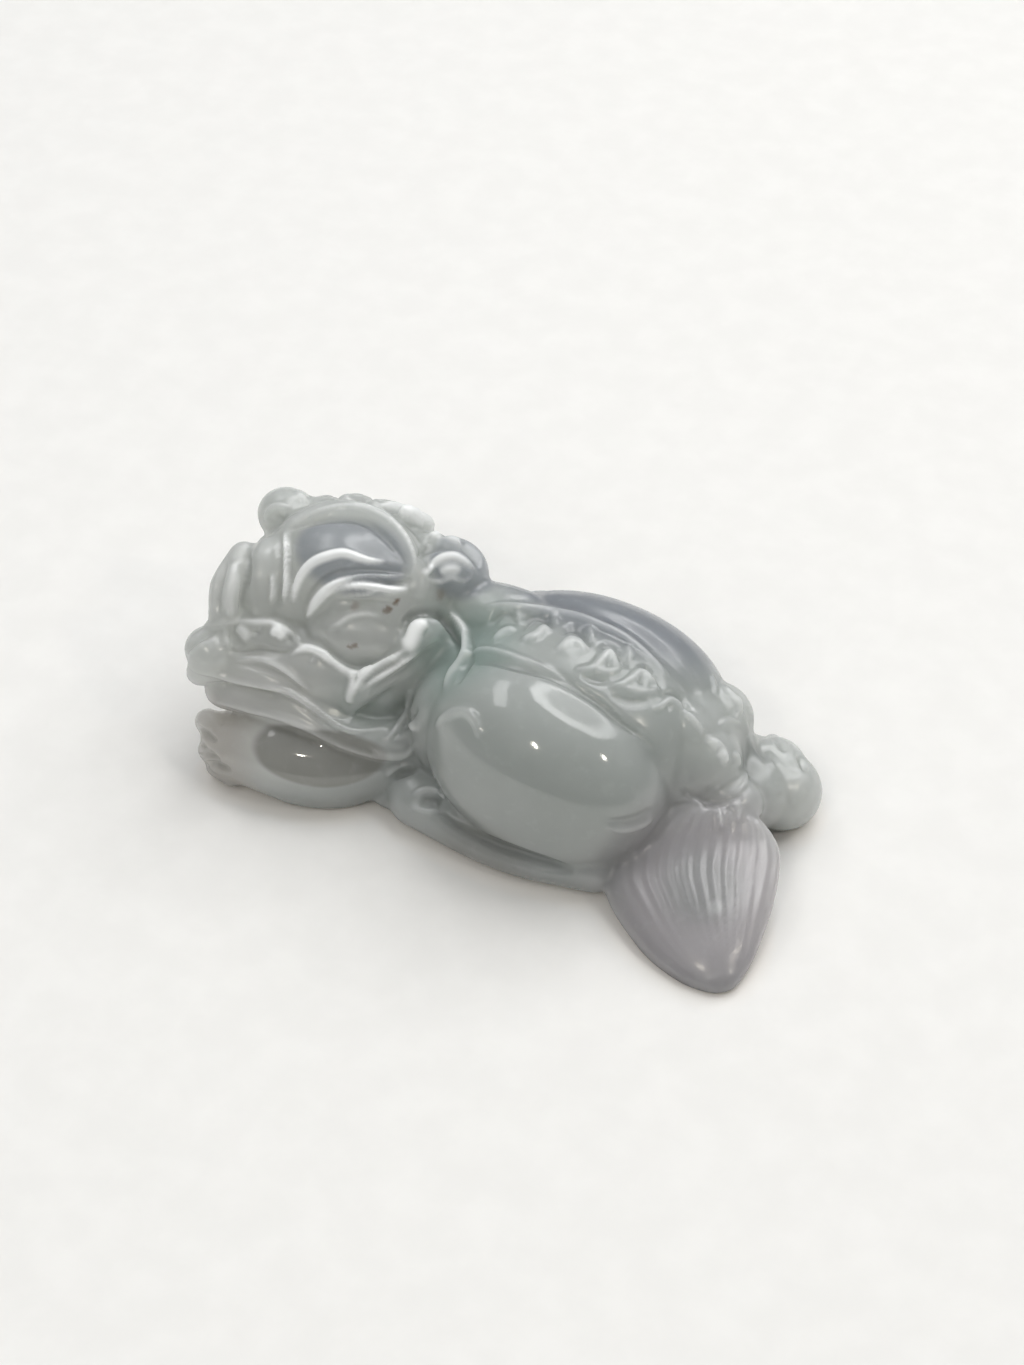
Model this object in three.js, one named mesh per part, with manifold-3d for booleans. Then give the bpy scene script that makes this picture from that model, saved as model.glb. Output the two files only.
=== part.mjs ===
// A small jade carving of a pixiu, lying on its belly with its head turned to its left.
// Millimetres, +Z up. The head end points to -X and the flank that is carved best to -Y.
// Everything is one stone: the rounded forms are joined, the grooves are cut out of them,
// and the underside is ground flat. Rounded forms are eggs (middle, half sizes, turn in
// degrees) and limbs (a line of points with the radii spread evenly along it).

import * as THREE from 'three';
import { mergeVertices } from 'three/addons/utils/BufferGeometryUtils.js';
import Module from 'manifold-3d';

const wasm = await Module();
wasm.setup();

// Body: a barrel with a chest, a rump and a dome on each haunch
const MID_Y = 2.6;
const BARREL = { at: [2.8, MID_Y, 6.0], size: [9.8, 6.4, 7.2], full: 2.2, sides: 14 };
const CHEST = { at: [-5.6, 4.0, 6.4], size: [4.4, 4.6, 5.2], sides: 10 };
const BIB = { at: [-12.4, 2.0, 2.4], size: [6.8, 5.6, 4.4], full: 2.4, sides: 10 };
const RUMP = { at: [10.0, 4.0, 5.0], size: [5.0, 5.2, 5.0], sides: 12 };
const HAUNCH = { at: [3.4, -1.2, 6.2], size: [8.5, 5.7, 6.6], turn: [0, 17, -3], full: 2.1, sides: 20 };
const FAR_HAUNCH = { at: [3.9, 6.1, 5.8], size: [9.2, 5.6, 6.9], turn: [0, 8, 3], full: 2.1, sides: 14 };
const SHOULDER = { at: [-3.6, -0.2, 6.2], size: [2.8, 3.4, 4.4], sides: 10 };
const FAR_SHOULDER = { at: [-3.6, 5.4, 6.2], size: [2.8, 3.4, 4.4], sides: 8 };
const ARMPIT = { at: [-6.2, -0.4, 3.2], size: [3.0, 2.8, 3.2], sides: 8 };
const TAIL_ROOT = { at: [12.7, 3.0, 6.3], size: [2.7, 2.5, 2.5], sides: 12 };

// Spine: a raised band with a row of pointed knobs
const SPINE_RISE = 0.9;
const SPINE = {
  line: [[-4.0, MID_Y, 10.6], [1.2, MID_Y, 12.4], [5.0, MID_Y, 12.2], [8.9, MID_Y, 10.9], [12.0, MID_Y, 8.6]],
  radii: [SPINE_RISE, SPINE_RISE],
  steps: 6,
  sides: 7,
};
const KNOB_COUNT = 6;
const KNOB_FIRST = 0.14;
const KNOB_LAST = 0.88;
const KNOB = { size: [1.15, 1.1, 0.8], sides: 7 };

// Head
const SKULL = { at: [-13.0, 4.4, 9.6], size: [7.6, 5.6, 6.8], sides: 14 };
const CROWN = { at: [-13.3, 3.2, 12.2], size: [4.9, 3.9, 4.3], sides: 16 };
const FOREHEAD = { at: [-16.2, 2.2, 11.4], size: [3.8, 3.4, 4.0], sides: 10 };
const MUZZLE = { at: [-14.6, 0.0, 8.0], size: [6.0, 4.0, 3.4], full: 2.3, sides: 12 };
const CHIN = { at: [-13.2, 1.0, 5.6], size: [6.4, 4.5, 2.4], full: 2.3, sides: 10 };
const CHEEK = { at: [-8.8, 2.0, 8.6], size: [3.4, 3.3, 4.0], sides: 10 };
const EYE = { at: [-10.9, -0.2, 11.2], size: [3.1, 1.5, 2.0], turn: [-20, 0, 14], sides: 12 };
const NOSE_BRIDGE = { at: [-17.0, -0.6, 9.6], size: [3.2, 2.6, 2.4], sides: 8 };
const NOSE_BUMPS = [
  { at: [-17.9, -2.5, 10.6], size: [1.0, 0.9, 0.9], sides: 7 },
  { at: [-15.6, -1.6, 10.3], size: [1.2, 0.9, 0.8], sides: 7 },
  { at: [-19.9, -3.6, 9.2], size: [1.7, 1.6, 1.5], sides: 8 },
];
const UPPER_LIP = {
  line: [[-18.6, 2.6, 8.5], [-19.7, -2.2, 8.7], [-16.2, -2.3, 8.6], [-12.4, -1.6, 8.0], [-8.8, -0.5, 7.2]],
  radii: [1.6, 1.7, 1.7, 1.8, 1.5],
  steps: 7,
  sides: 8,
};
const LOWER_JAW = {
  line: [
    [-18.2, 2.6, 6.0], [-20.6, -3.5, 5.2], [-16.2, -3.2, 6.1],
    [-12.3, -2.4, 5.9], [-8.9, -1.8, 4.6], [-6.2, 0.0, 5.0],
  ],
  radii: [1.5, 1.7, 1.7, 1.8, 1.9, 1.8],
  steps: 8,
  sides: 8,
};
const MOUTH_GROOVE = {
  line: [
    [-21.8, -3.0, 7.9], [-20.8, -4.4, 7.3], [-15.8, -4.4, 8.1], [-12.6, -4.0, 8.1],
    [-10.4, -3.8, 6.4], [-8.7, -3.5, 5.8], [-6.7, -2.5, 6.3], [-5.9, -1.5, 8.1],
  ],
  radii: [0.4, 0.4],
  steps: 9,
  sides: 5,
};
const FOREHEAD_COLUMN = {
  line: [[-18.2, 2.4, 15.2], [-17.9, 0.8, 14.6], [-17.2, -0.9, 12.0]],
  radii: [0.9, 1.1, 0.9],
  steps: 4,
  sides: 6,
};
const FAR_BROW = {
  line: [[-19.6, 1.2, 13.6], [-19.6, -0.9, 12.6], [-19.5, -2.2, 10.8]],
  radii: [1.0, 1.3, 1.0],
  steps: 4,
  sides: 6,
};
const UPPER_BROW = {
  line: [[-15.0, -0.5, 12.9], [-14.0, 0.1, 14.7], [-12.4, 1.1, 15.7], [-10.2, 2.0, 15.4], [-8.4, 2.9, 14.6]],
  radii: [0.5, 0.5],
  steps: 6,
  sides: 5,
};
const LOWER_BROW = {
  line: [[-14.0, -0.9, 12.4], [-12.7, -0.5, 13.9], [-10.8, 0.5, 14.6], [-8.2, 1.8, 14.0]],
  radii: [0.5, 0.5],
  steps: 5,
  sides: 5,
};
const HAIR_BAND = {
  line: [
    [-17.2, 3.7, 15.0], [-15.9, 5.0, 15.6], [-14.2, 6.0, 15.7],
    [-11.2, 5.7, 15.8], [-8.7, 4.1, 14.9], [-7.7, 3.1, 13.8],
  ],
  radii: [0.7, 0.7],
  steps: 7,
  sides: 5,
};
const CHEEK_LOCK = {
  line: [[-6.8, 1.9, 11.5], [-7.6, 0.3, 10.2], [-8.9, -1.6, 8.9], [-9.9, -2.8, 7.5]],
  radii: [1.45, 1.3, 0.95, 0.5],
  steps: 4,
  sides: 8,
};
const NEAR_EAR = { at: [-6.8, 6.4, 12.8], size: [2.4, 2.0, 2.3], sides: 10 };
const FAR_EAR = { at: [-19.0, 6.4, 13.2], size: [2.1, 1.8, 1.9], sides: 9 };
// The hollow of an ear is measured in half sizes of that ear
const EAR_HOLLOW_SIZE = 0.62;
const EAR_HOLLOW_SHIFT = [-0.1, -0.75, 0.75];

// Mane: locks that run down the back of the skull, spread from ear to ear
const MANE_LOCKS = 7;
const MANE_SPREAD = 0.84;
const MANE_START = 34;
const MANE_END = 112;
const MANE_STEPS = 4;
const MANE_WAVE = 0.05;
const MANE_RADII = [0.5, 1.0, 1.15, 1.2, 0.9];

// Legs: the near foreleg lies under the jaw, the near hind foot along the ground
const FORELEG = {
  line: [[-9.6, -1.8, 2.6], [-12.6, -3.6, 2.2], [-16.0, -5.0, 1.9], [-18.3, -5.2, 1.9]],
  radii: [3.0, 3.1, 2.3, 2.1],
  steps: 5,
  sides: 10,
};
const ELBOW = { at: [-11.4, -4.0, 2.4], size: [4.1, 3.2, 3.1], sides: 12 };
const HIND_FOOT = {
  line: [[8.2, -4.5, 1.6], [2.0, -5.2, 1.5], [-3.8, -4.1, 1.6]],
  radii: [1.7, 1.6, 2.0],
  steps: 5,
  sides: 8,
};
const FAR_FORELEG = {
  line: [[-8.0, 7.6, 2.8], [-12.0, 8.0, 2.2], [-16.4, 7.4, 1.9]],
  radii: [2.6, 2.1, 1.8],
  steps: 4,
  sides: 8,
};
const FAR_HIND_LEG = {
  line: [[8.6, 7.4, 4.4], [12.8, 7.0, 3.1], [17.3, 6.2, 2.3]],
  radii: [3.6, 2.5, 2.6],
  steps: 4,
  sides: 9,
};

// Toes: a row of short bars across the front of each paw
const TOE_RADIUS = 0.62;
const TOE_TIP = 0.56;
const TOE_LENGTH = 0.7;
const TOE_STEP = 0.98;
const PAWS = [
  { at: [-20.0, -5.2, 2.0], ahead: [-1, -0.2, -0.1], across: [0.15, -0.6, -0.75], count: 4 },
  { at: [-5.4, -4.0, 1.8], ahead: [-1, 0.1, -0.1], across: [-0.2, -0.75, -0.65], count: 3 },
  { at: [17.2, 7.9, 2.9], ahead: [0.4, 0.8, 0.1], across: [0.75, -0.3, -0.6], count: 3 },
  { at: [-17.4, 7.6, 1.6], ahead: [-1, 0, 0], across: [0, 1, -0.3], count: 3 },
];

// Tail: a leaf-shaped brush between two edges, with locks of hair along its top
const BRUSH_LEFT = [
  [11.6, 0.4, 5.4], [10.4, -2.2, 4.2], [9.2, -5.4, 1.6],
  [12.6, -8.5, 0.8], [16.0, -10.1, 0.6], [19.6, -10.6, 0.4],
];
const BRUSH_RIGHT = [
  [16.0, 1.4, 5.2], [17.8, 0.8, 4.4], [19.2, -0.2, 3.2],
  [20.0, -3.2, 2.4], [20.1, -7.2, 1.3], [19.8, -10.4, 0.4],
];
const BRUSH_CROWN = 1.9;
const BRUSH_UNDER = 2.4;
const BRUSH_BLUNTNESS = 0.6;
const BRUSH_SIDES = 16;
const BRUSH_RINGS = 10;
const HAIR_LOCKS = 9;
const HAIR_SPREAD = 0.9;
const HAIR_STATIONS = [0.06, 0.25, 0.45, 0.65, 0.82, 0.95];
const HAIR_SINK = 0.45;
const HAIR_RADII = [0.4, 0.75, 0.8, 0.6, 0.3];

// The ground takes off everything below the flat underside
const GROUND = [80, 80, 20];

const JADE = { color: 0x96a5a0, roughness: 0.22, metalness: 0 };

const point = (p) => new THREE.Vector3(...p);
const curveThrough = (line) => new THREE.CatmullRomCurve3(line.map(point));
const join = (parts) => parts.reduce((sum, part) => sum.add(part));

// Turns a closed geometry into a solid that can be joined and cut
function solid(geometry) {
  const bare = geometry.clone();
  bare.deleteAttribute('normal');
  bare.deleteAttribute('uv');
  const merged = mergeVertices(bare, 1e-4);
  const made = new wasm.Manifold(new wasm.Mesh({
    numProp: 3,
    vertProperties: new Float32Array(merged.attributes.position.array),
    triVerts: new Uint32Array(merged.index.array),
  }));
  return made.volume() > 0 ? made : solid(flipped(geometry));
}

// The same faces, turned to point the other way
function flipped(geometry) {
  const index = geometry.index.array;
  for (let i = 0; i < index.length; i += 3) {
    [index[i], index[i + 1]] = [index[i + 1], index[i]];
  }
  return geometry;
}

// An egg: a ball stretched by its three half sizes, then turned and moved.
// A fullness over 2 squares its shoulders a little.
function egg({ at, size, turn = [0, 0, 0], full = 2, sides }) {
  const ball = new THREE.SphereGeometry(1, sides, Math.round(sides * 0.7));
  ball.rotateX(Math.PI / 2);
  const position = ball.attributes.position;
  for (let i = 0; i < position.count; i += 1) {
    const corner = [position.getX(i), position.getY(i), position.getZ(i)];
    const reach = corner.reduce((sum, c) => sum + Math.abs(c) ** full, 0) ** (1 / full);
    position.setXYZ(i, ...corner.map((c) => c / reach));
  }
  ball.scale(...size);
  const angles = turn.map(THREE.MathUtils.degToRad);
  ball.applyMatrix4(new THREE.Matrix4().makeRotationFromEuler(new THREE.Euler(...angles)));
  ball.translate(...at);
  return solid(ball);
}

// The outline of a straight bar with domed ends: pairs of radius and height
function barOutline(radii, length, steps, domeSteps) {
  const radiusAt = (t) => {
    const place = t * (radii.length - 1);
    const i = Math.min(Math.floor(place), radii.length - 2);
    return THREE.MathUtils.lerp(radii[i], radii[i + 1], place - i);
  };
  const first = radii[0];
  const last = radii[radii.length - 1];
  const outline = [new THREE.Vector2(0, -first)];
  for (let i = 1; i <= domeSteps; i += 1) {
    const angle = (i / domeSteps) * (Math.PI / 2);
    outline.push(new THREE.Vector2(first * Math.sin(angle), -first * Math.cos(angle)));
  }
  for (let i = 1; i < steps; i += 1) {
    outline.push(new THREE.Vector2(radiusAt(i / steps), (i / steps) * length));
  }
  for (let i = 0; i < domeSteps; i += 1) {
    const angle = (i / domeSteps) * (Math.PI / 2);
    outline.push(new THREE.Vector2(last * Math.cos(angle), length + last * Math.sin(angle)));
  }
  outline.push(new THREE.Vector2(0, length + last));
  return outline;
}

// A limb, lock or groove: a round bar with domed ends, bent along a smooth curve
function limb({ line, radii, steps, sides }) {
  const curve = curveThrough(line);
  const length = curve.getLength();
  const domeSteps = sides > 8 ? 3 : 2;
  const bar = new THREE.LatheGeometry(barOutline(radii, length, steps, domeSteps), sides);
  const frameCount = steps * 4;
  const frames = curve.computeFrenetFrames(frameCount, false);
  const position = bar.attributes.position;
  for (let i = 0; i < position.count; i += 1) {
    const along = position.getY(i);
    const t = THREE.MathUtils.clamp(along / length, 0, 1);
    const frame = Math.round(t * frameCount);
    const spot = curve.getPointAt(t);
    spot.addScaledVector(frames.tangents[frame], along - t * length);
    spot.addScaledVector(frames.normals[frame], position.getX(i));
    spot.addScaledVector(frames.binormals[frame], position.getZ(i));
    position.setXYZ(i, spot.x, spot.y, spot.z);
  }
  return solid(bar);
}

function body() {
  return join([
    BARREL, CHEST, BIB, RUMP, HAUNCH, FAR_HAUNCH, SHOULDER, FAR_SHOULDER, ARMPIT, TAIL_ROOT,
  ].map(egg));
}

function spine() {
  const curve = curveThrough(SPINE.line);
  const knobs = [];
  for (let i = 0; i < KNOB_COUNT; i += 1) {
    const t = THREE.MathUtils.lerp(KNOB_FIRST, KNOB_LAST, i / (KNOB_COUNT - 1));
    const spot = curve.getPointAt(t);
    const slope = curve.getTangentAt(t);
    const tilt = THREE.MathUtils.radToDeg(Math.atan2(-slope.z, slope.x));
    knobs.push(egg({ ...KNOB, at: [spot.x, spot.y, spot.z + SPINE_RISE], turn: [0, tilt, 0] }));
  }
  return join([limb(SPINE), ...knobs]);
}

// An ear: a knob with a hollow in the side that faces up and forward
function ear(form) {
  const hollow = egg({
    at: form.at.map((middle, i) => middle + EAR_HOLLOW_SHIFT[i] * form.size[i]),
    size: form.size.map((half) => half * EAR_HOLLOW_SIZE),
    sides: 7,
  });
  return egg(form).subtract(hollow);
}

// One lock of the mane, lying on the skull with a slight wave from side to side
function maneLock(across) {
  const line = [];
  for (let step = 0; step <= MANE_STEPS; step += 1) {
    const t = step / MANE_STEPS;
    const down = THREE.MathUtils.degToRad(THREE.MathUtils.lerp(MANE_START, MANE_END, t));
    const wave = across + MANE_WAVE * Math.sin(2 * Math.PI * t);
    const ring = Math.sqrt(1 - wave * wave);
    line.push([
      SKULL.at[0] + SKULL.size[0] * wave,
      SKULL.at[1] + SKULL.size[1] * ring * Math.sin(down),
      SKULL.at[2] + SKULL.size[2] * ring * Math.cos(down),
    ]);
  }
  return limb({ line, radii: MANE_RADII, steps: MANE_STEPS, sides: 5 });
}

function mane() {
  const locks = [];
  for (let i = 0; i < MANE_LOCKS; i += 1) {
    locks.push(maneLock(THREE.MathUtils.lerp(-MANE_SPREAD, MANE_SPREAD, i / (MANE_LOCKS - 1))));
  }
  return join(locks);
}

function head() {
  const eggs = [SKULL, CROWN, FOREHEAD, MUZZLE, CHIN, CHEEK, EYE, NOSE_BRIDGE, ...NOSE_BUMPS];
  const limbs = [
    UPPER_LIP, LOWER_JAW, FOREHEAD_COLUMN, FAR_BROW, UPPER_BROW, LOWER_BROW, HAIR_BAND, CHEEK_LOCK,
  ];
  const whole = join([...eggs.map(egg), ...limbs.map(limb), ear(NEAR_EAR), ear(FAR_EAR), mane()]);
  return whole.subtract(limb(MOUTH_GROOVE));
}

// The toes of one paw, side by side, pointing ahead
function toes({ at, ahead, across, count }) {
  const forward = point(ahead).setLength(TOE_LENGTH);
  const side = point(across).setLength(TOE_STEP);
  const made = [];
  for (let i = 0; i < count; i += 1) {
    const root = point(at).addScaledVector(side, i - (count - 1) / 2);
    const tip = root.clone().add(forward);
    const line = [root.toArray(), tip.toArray()];
    made.push(limb({ line, radii: [TOE_RADIUS, TOE_TIP], steps: 1, sides: 5 }));
  }
  return join(made);
}

function legs() {
  const limbs = [FORELEG, HIND_FOOT, FAR_FORELEG, FAR_HIND_LEG];
  return join([egg(ELBOW), ...limbs.map(limb), ...PAWS.map(toes)]);
}

// The brush runs from root (t = 0) to tip (t = 1) and from its left edge (-1) to its right (1)
function brush() {
  const left = curveThrough(BRUSH_LEFT);
  const right = curveThrough(BRUSH_RIGHT);
  const between = (t, sideways) => left.getPoint(t).lerp(right.getPoint(t), (1 + sideways) / 2);
  const swell = (t) => Math.sin(Math.PI * t) ** BRUSH_BLUNTNESS;

  const leaf = new THREE.SphereGeometry(1, BRUSH_SIDES, BRUSH_RINGS);
  const position = leaf.attributes.position;
  for (let i = 0; i < position.count; i += 1) {
    const along = THREE.MathUtils.clamp(position.getY(i), -1, 1);
    const t = Math.acos(along) / Math.PI;
    const span = Math.max(1e-5, Math.sqrt(1 - along * along));
    const upward = position.getZ(i) / span;
    const spot = between(t, position.getX(i) / span);
    spot.z += upward * swell(t) * (upward > 0 ? BRUSH_CROWN : BRUSH_UNDER);
    position.setXYZ(i, spot.x, spot.y, spot.z);
  }

  const locks = [];
  for (let i = 0; i < HAIR_LOCKS; i += 1) {
    const sideways = THREE.MathUtils.lerp(-HAIR_SPREAD, HAIR_SPREAD, i / (HAIR_LOCKS - 1));
    const line = HAIR_STATIONS.map((t) => {
      const spot = between(t, sideways);
      spot.z += BRUSH_CROWN * swell(t) * Math.sqrt(1 - sideways * sideways) - HAIR_SINK;
      return spot.toArray();
    });
    locks.push(limb({ line, radii: HAIR_RADII, steps: 5, sides: 5 }));
  }
  return join([solid(leaf), ...locks]);
}

function carving() {
  const whole = join([body(), spine(), head(), legs(), brush()]);
  const ground = new THREE.BoxGeometry(...GROUND);
  ground.translate(0, 0, -GROUND[2] / 2);
  return whole.subtract(solid(ground));
}

function meshOf(made) {
  const { vertProperties, triVerts } = made.getMesh();
  const geometry = new THREE.BufferGeometry();
  geometry.setAttribute('position', new THREE.BufferAttribute(vertProperties, 3));
  geometry.setIndex(new THREE.BufferAttribute(triVerts, 1));
  geometry.computeBoundingBox();
  const middle = geometry.boundingBox.getCenter(new THREE.Vector3());
  geometry.translate(-middle.x, -middle.y, -geometry.boundingBox.min.z);
  geometry.computeVertexNormals();
  const mesh = new THREE.Mesh(geometry, new THREE.MeshStandardMaterial(JADE));
  mesh.name = 'pixiu';
  return mesh;
}

const pendant = new THREE.Group();
pendant.add(meshOf(carving()));

export default pendant;
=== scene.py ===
"""A small jade pixiu lying on a sheet of white paper, seen from above its left flank."""
import math
import bmesh
import bpy
import numpy as np
from mathutils import Euler, Matrix, Vector
from mathutils.bvhtree import BVHTree


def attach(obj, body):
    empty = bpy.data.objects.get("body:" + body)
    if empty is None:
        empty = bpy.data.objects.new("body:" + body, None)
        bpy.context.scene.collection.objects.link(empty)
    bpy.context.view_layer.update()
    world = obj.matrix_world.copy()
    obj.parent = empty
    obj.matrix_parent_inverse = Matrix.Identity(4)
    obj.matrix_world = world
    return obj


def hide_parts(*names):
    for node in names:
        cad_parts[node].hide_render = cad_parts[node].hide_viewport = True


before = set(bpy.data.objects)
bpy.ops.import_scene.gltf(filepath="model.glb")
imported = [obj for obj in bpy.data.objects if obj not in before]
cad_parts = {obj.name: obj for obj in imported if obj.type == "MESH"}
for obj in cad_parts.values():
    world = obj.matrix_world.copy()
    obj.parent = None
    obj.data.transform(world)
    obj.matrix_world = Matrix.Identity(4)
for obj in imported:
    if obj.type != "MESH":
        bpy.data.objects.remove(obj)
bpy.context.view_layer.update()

# The carving is laid out in millimetres, and this point of the layout is the row's origin
MM = 0.001
LAYOUT_MIDDLE = Vector((-0.87, 0.47, 0.0))

# The viewer: what they look at, how far back they stand, and their side and height in degrees
LOOK_AT = Vector((-1.3, 3.7, 7.0))
VIEW_DISTANCE = 170.0
VIEW = (24, 46)
VIEW_LENS = 67.25

# Two more viewers, who see the hidden sides: the stone from behind, and the far half of the face
BACK_VIEW = (180, 25)
FACE_VIEW = (-105, 20)

# Fineness of the forms, and of the skin that is drawn over them and softened
CURVE_STEPS = 24
EGG_MESH = (64, 40)
LIMB_RINGS = 48
LIMB_DOME = 8
LIMB_ROUND = 28
BRUSH_ROUND = 48
BRUSH_RINGS = 60
GRAIN = 0.19
SMOOTHING = 14
POLISHING = 2
SOFTENING = 0.5

# How a carved stroke thins and fades at its ends, where it stops because the stone turns away or
# hides it, and how far its marks spread
STROKE_POINTS = 40
THINNING = 0.45
END_FADE = 0.18
HAIR_END_FADE = 0.1
POINTED_SECTION = 1.3
EDGE_ON = 0.25
SIGHT_LIFT = 0.05
SIGHT_START = 0.3
SIGHT_LENGTH = 60
MARK_SPREAD = 3

# Body
MID_Y = 2.6
BARREL = dict(at=(2.8, MID_Y, 6), size=(9.8, 6.5, 7.2), full=2.2)
CHEST = dict(at=(-5.6, 4, 6.4), size=(4.6, 4.8, 5.3))
BIB = dict(at=(-12.4, 2, 2.6), size=(6.9, 5.7, 4.6), full=2.3)
RUMP = dict(at=(10, 4, 5), size=(5.1, 5.3, 5.1))
HAUNCH = dict(at=(3.4, -1.2, 6.2), size=(8.6, 5.8, 6.7), turn=(0, 17, -3), full=2.1)
FAR_HAUNCH = dict(at=(3.9, 6.1, 5.8), size=(9.3, 5.7, 7), turn=(0, 8, 3), full=2.1)
SHOULDER = dict(at=(-3.6, -0.2, 6.2), size=(3, 3.6, 4.6))
FAR_SHOULDER = dict(at=(-3.6, 5.4, 6.2), size=(3, 3.6, 4.6))
ARMPIT = dict(at=(-6.2, -0.4, 3.2), size=(3.1, 2.9, 3.3))
TAIL_ROOT = dict(at=(12.4, 3, 6.3), size=(2.9, 2.6, 2.7))
TAIL_SADDLE = dict(at=(10.6, 3.2, 7.4), size=(3.2, 2.3, 3), turn=(0, 30, 0))
FAR_HIP = dict(at=(12.6, 5.4, 4), size=(3.4, 3, 3.2))
FAR_WEB = dict(at=(15, 4.4, 3), size=(3.3, 2.9, 2.9))
FAR_THIGH = dict(at=(12.2, 6.6, 6.4), size=(2.5, 2.5, 2.6))
FAR_KNUCKLE = dict(at=(16.3, 6.5, 3.4), size=(2.4, 2.6, 1.9))
WITHERS = dict(at=(-2.4, 5.3, 10.3), size=(5.2, 2.6, 3))
TAIL_JOINT = dict(at=(15, 1.9, 4.5), size=(2.3, 1.9, 1.9))
BODY_FORMS = (
    BARREL, CHEST, BIB, RUMP, HAUNCH, FAR_HAUNCH, SHOULDER, FAR_SHOULDER, ARMPIT,
    TAIL_ROOT, TAIL_SADDLE, TAIL_JOINT, FAR_HIP, FAR_WEB, FAR_THIGH, FAR_KNUCKLE, WITHERS,
)

# Head
SKULL = dict(at=(-13, 4.4, 9.6), size=(7.6, 5.7, 6.8))
CROWN = dict(at=(-13.3, 3.2, 12.2), size=(5, 4, 4.4))
FOREHEAD = dict(at=(-16.2, 2.2, 11.4), size=(3.9, 3.5, 4.1))
MUZZLE = dict(at=(-14.6, 0, 8), size=(6.1, 4.1, 3.5), full=2.3)
CHIN = dict(at=(-13.2, 1, 5.6), size=(6.5, 4.6, 2.5), full=2.3)
CHEEK = dict(at=(-8.8, 2, 8.6), size=(3.5, 3.4, 4.1))
EYE = dict(at=(-10.9, -0.2, 11.2), size=(3.1, 1.5, 2), turn=(-20, 0, 14))
NOSE_BRIDGE = dict(at=(-17, -0.6, 9.6), size=(3.3, 2.7, 2.5))
NOSE_TIP = dict(at=(-19.9, -3.6, 9.2), size=(1.8, 1.7, 1.6))
HEAD_FORMS = (SKULL, CROWN, FOREHEAD, MUZZLE, CHIN, CHEEK, EYE, NOSE_BRIDGE, NOSE_TIP)

UPPER_LIP = dict(
    line=((-18.6, 2.6, 8.5), (-19.7, -2.2, 8.7), (-16.2, -2.3, 8.6), (-12.4, -1.6, 8), (-8.8, -0.5, 7.2)),
    radii=(1.6, 1.75, 1.75, 1.85, 1.55),
)
LIP_EDGE = dict(
    line=(
        (-20.4, -4.5, 7.7), (-18.4, -3.9, 8.2), (-15.8, -3.8, 8.6),
        (-13.5, -3.8, 7.9), (-11.5, -3.8, 7.1), (-9.9, -3.3, 6.2),
    ),
    radii=(0.95, 0.9, 0.85, 0.8, 0.75, 0.6),
)
LOWER_JAW = dict(
    line=(
        (-17.6, 1.6, 6.1), (-19.5, -3.8, 6), (-15.8, -4, 6.5),
        (-11.8, -3.9, 6.1), (-8.7, -3.3, 5.2), (-6.3, -1.8, 4.9),
    ),
    radii=(1.2, 0.95, 1.15, 1.3, 1.3, 1.3),
)
FOREHEAD_COLUMN = dict(
    line=((-18, 1.6, 14.5), (-17.8, 0.5, 14), (-17.2, -0.9, 12)),
    radii=(0.9, 1.15, 1),
)
FAR_BROW = dict(
    line=((-19.6, 1.2, 13.6), (-19.6, -0.9, 12.6), (-19.5, -2.2, 10.8)),
    radii=(1.1, 1.4, 1.1),
)
HAIR_BAND = dict(
    line=(
        (-17.2, 3.7, 15), (-15.9, 5, 15.6), (-14.2, 6, 15.7),
        (-11.2, 5.7, 15.8), (-8.7, 4.1, 14.9), (-7.7, 3.1, 13.8),
    ),
    radii=(0.8, 0.8),
)
CHEEK_LOCK = dict(
    line=((-6.8, 1.9, 11.5), (-7.6, 0.3, 10.2), (-8.9, -1.6, 8.9), (-9.9, -2.8, 7.5)),
    radii=(1.5, 1.35, 1, 0.6),
)
NEAR_EAR = dict(at=(-6.8, 6.4, 12.8), size=(2.5, 2.1, 2.4))
FAR_EAR = dict(at=(-19, 6.4, 13.2), size=(2.2, 1.9, 2))

# Legs
FORELEG = dict(
    line=((-8.8, -2.4, 2.6), (-11.4, -3.9, 2.6), (-14.2, -4.7, 2.7), (-17.7, -5.2, 2.5)),
    radii=(2.9, 3.2, 3.1, 2.45),
)
ELBOW = dict(at=(-12.2, -3.8, 2.8), size=(5.5, 2.9, 3.8), turn=(-40, -9, 19), full=2.15)
HIND_FOOT = dict(line=((8.2, -4.5, 1.6), (2, -5.2, 1.5), (-4.8, -3.8, 1.7)), radii=(1.8, 1.7, 2.1))
FAR_FORELEG = dict(line=((-8, 7.6, 2.8), (-12, 8, 2.2), (-16.4, 7.4, 1.9)), radii=(2.7, 2.2, 1.9))
FAR_HIND_LEG = dict(line=((8.6, 7.2, 4.2), (12.8, 6.7, 2.9), (17.3, 6.1, 2.2)), radii=(3.6, 2.45, 2.7))

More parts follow.
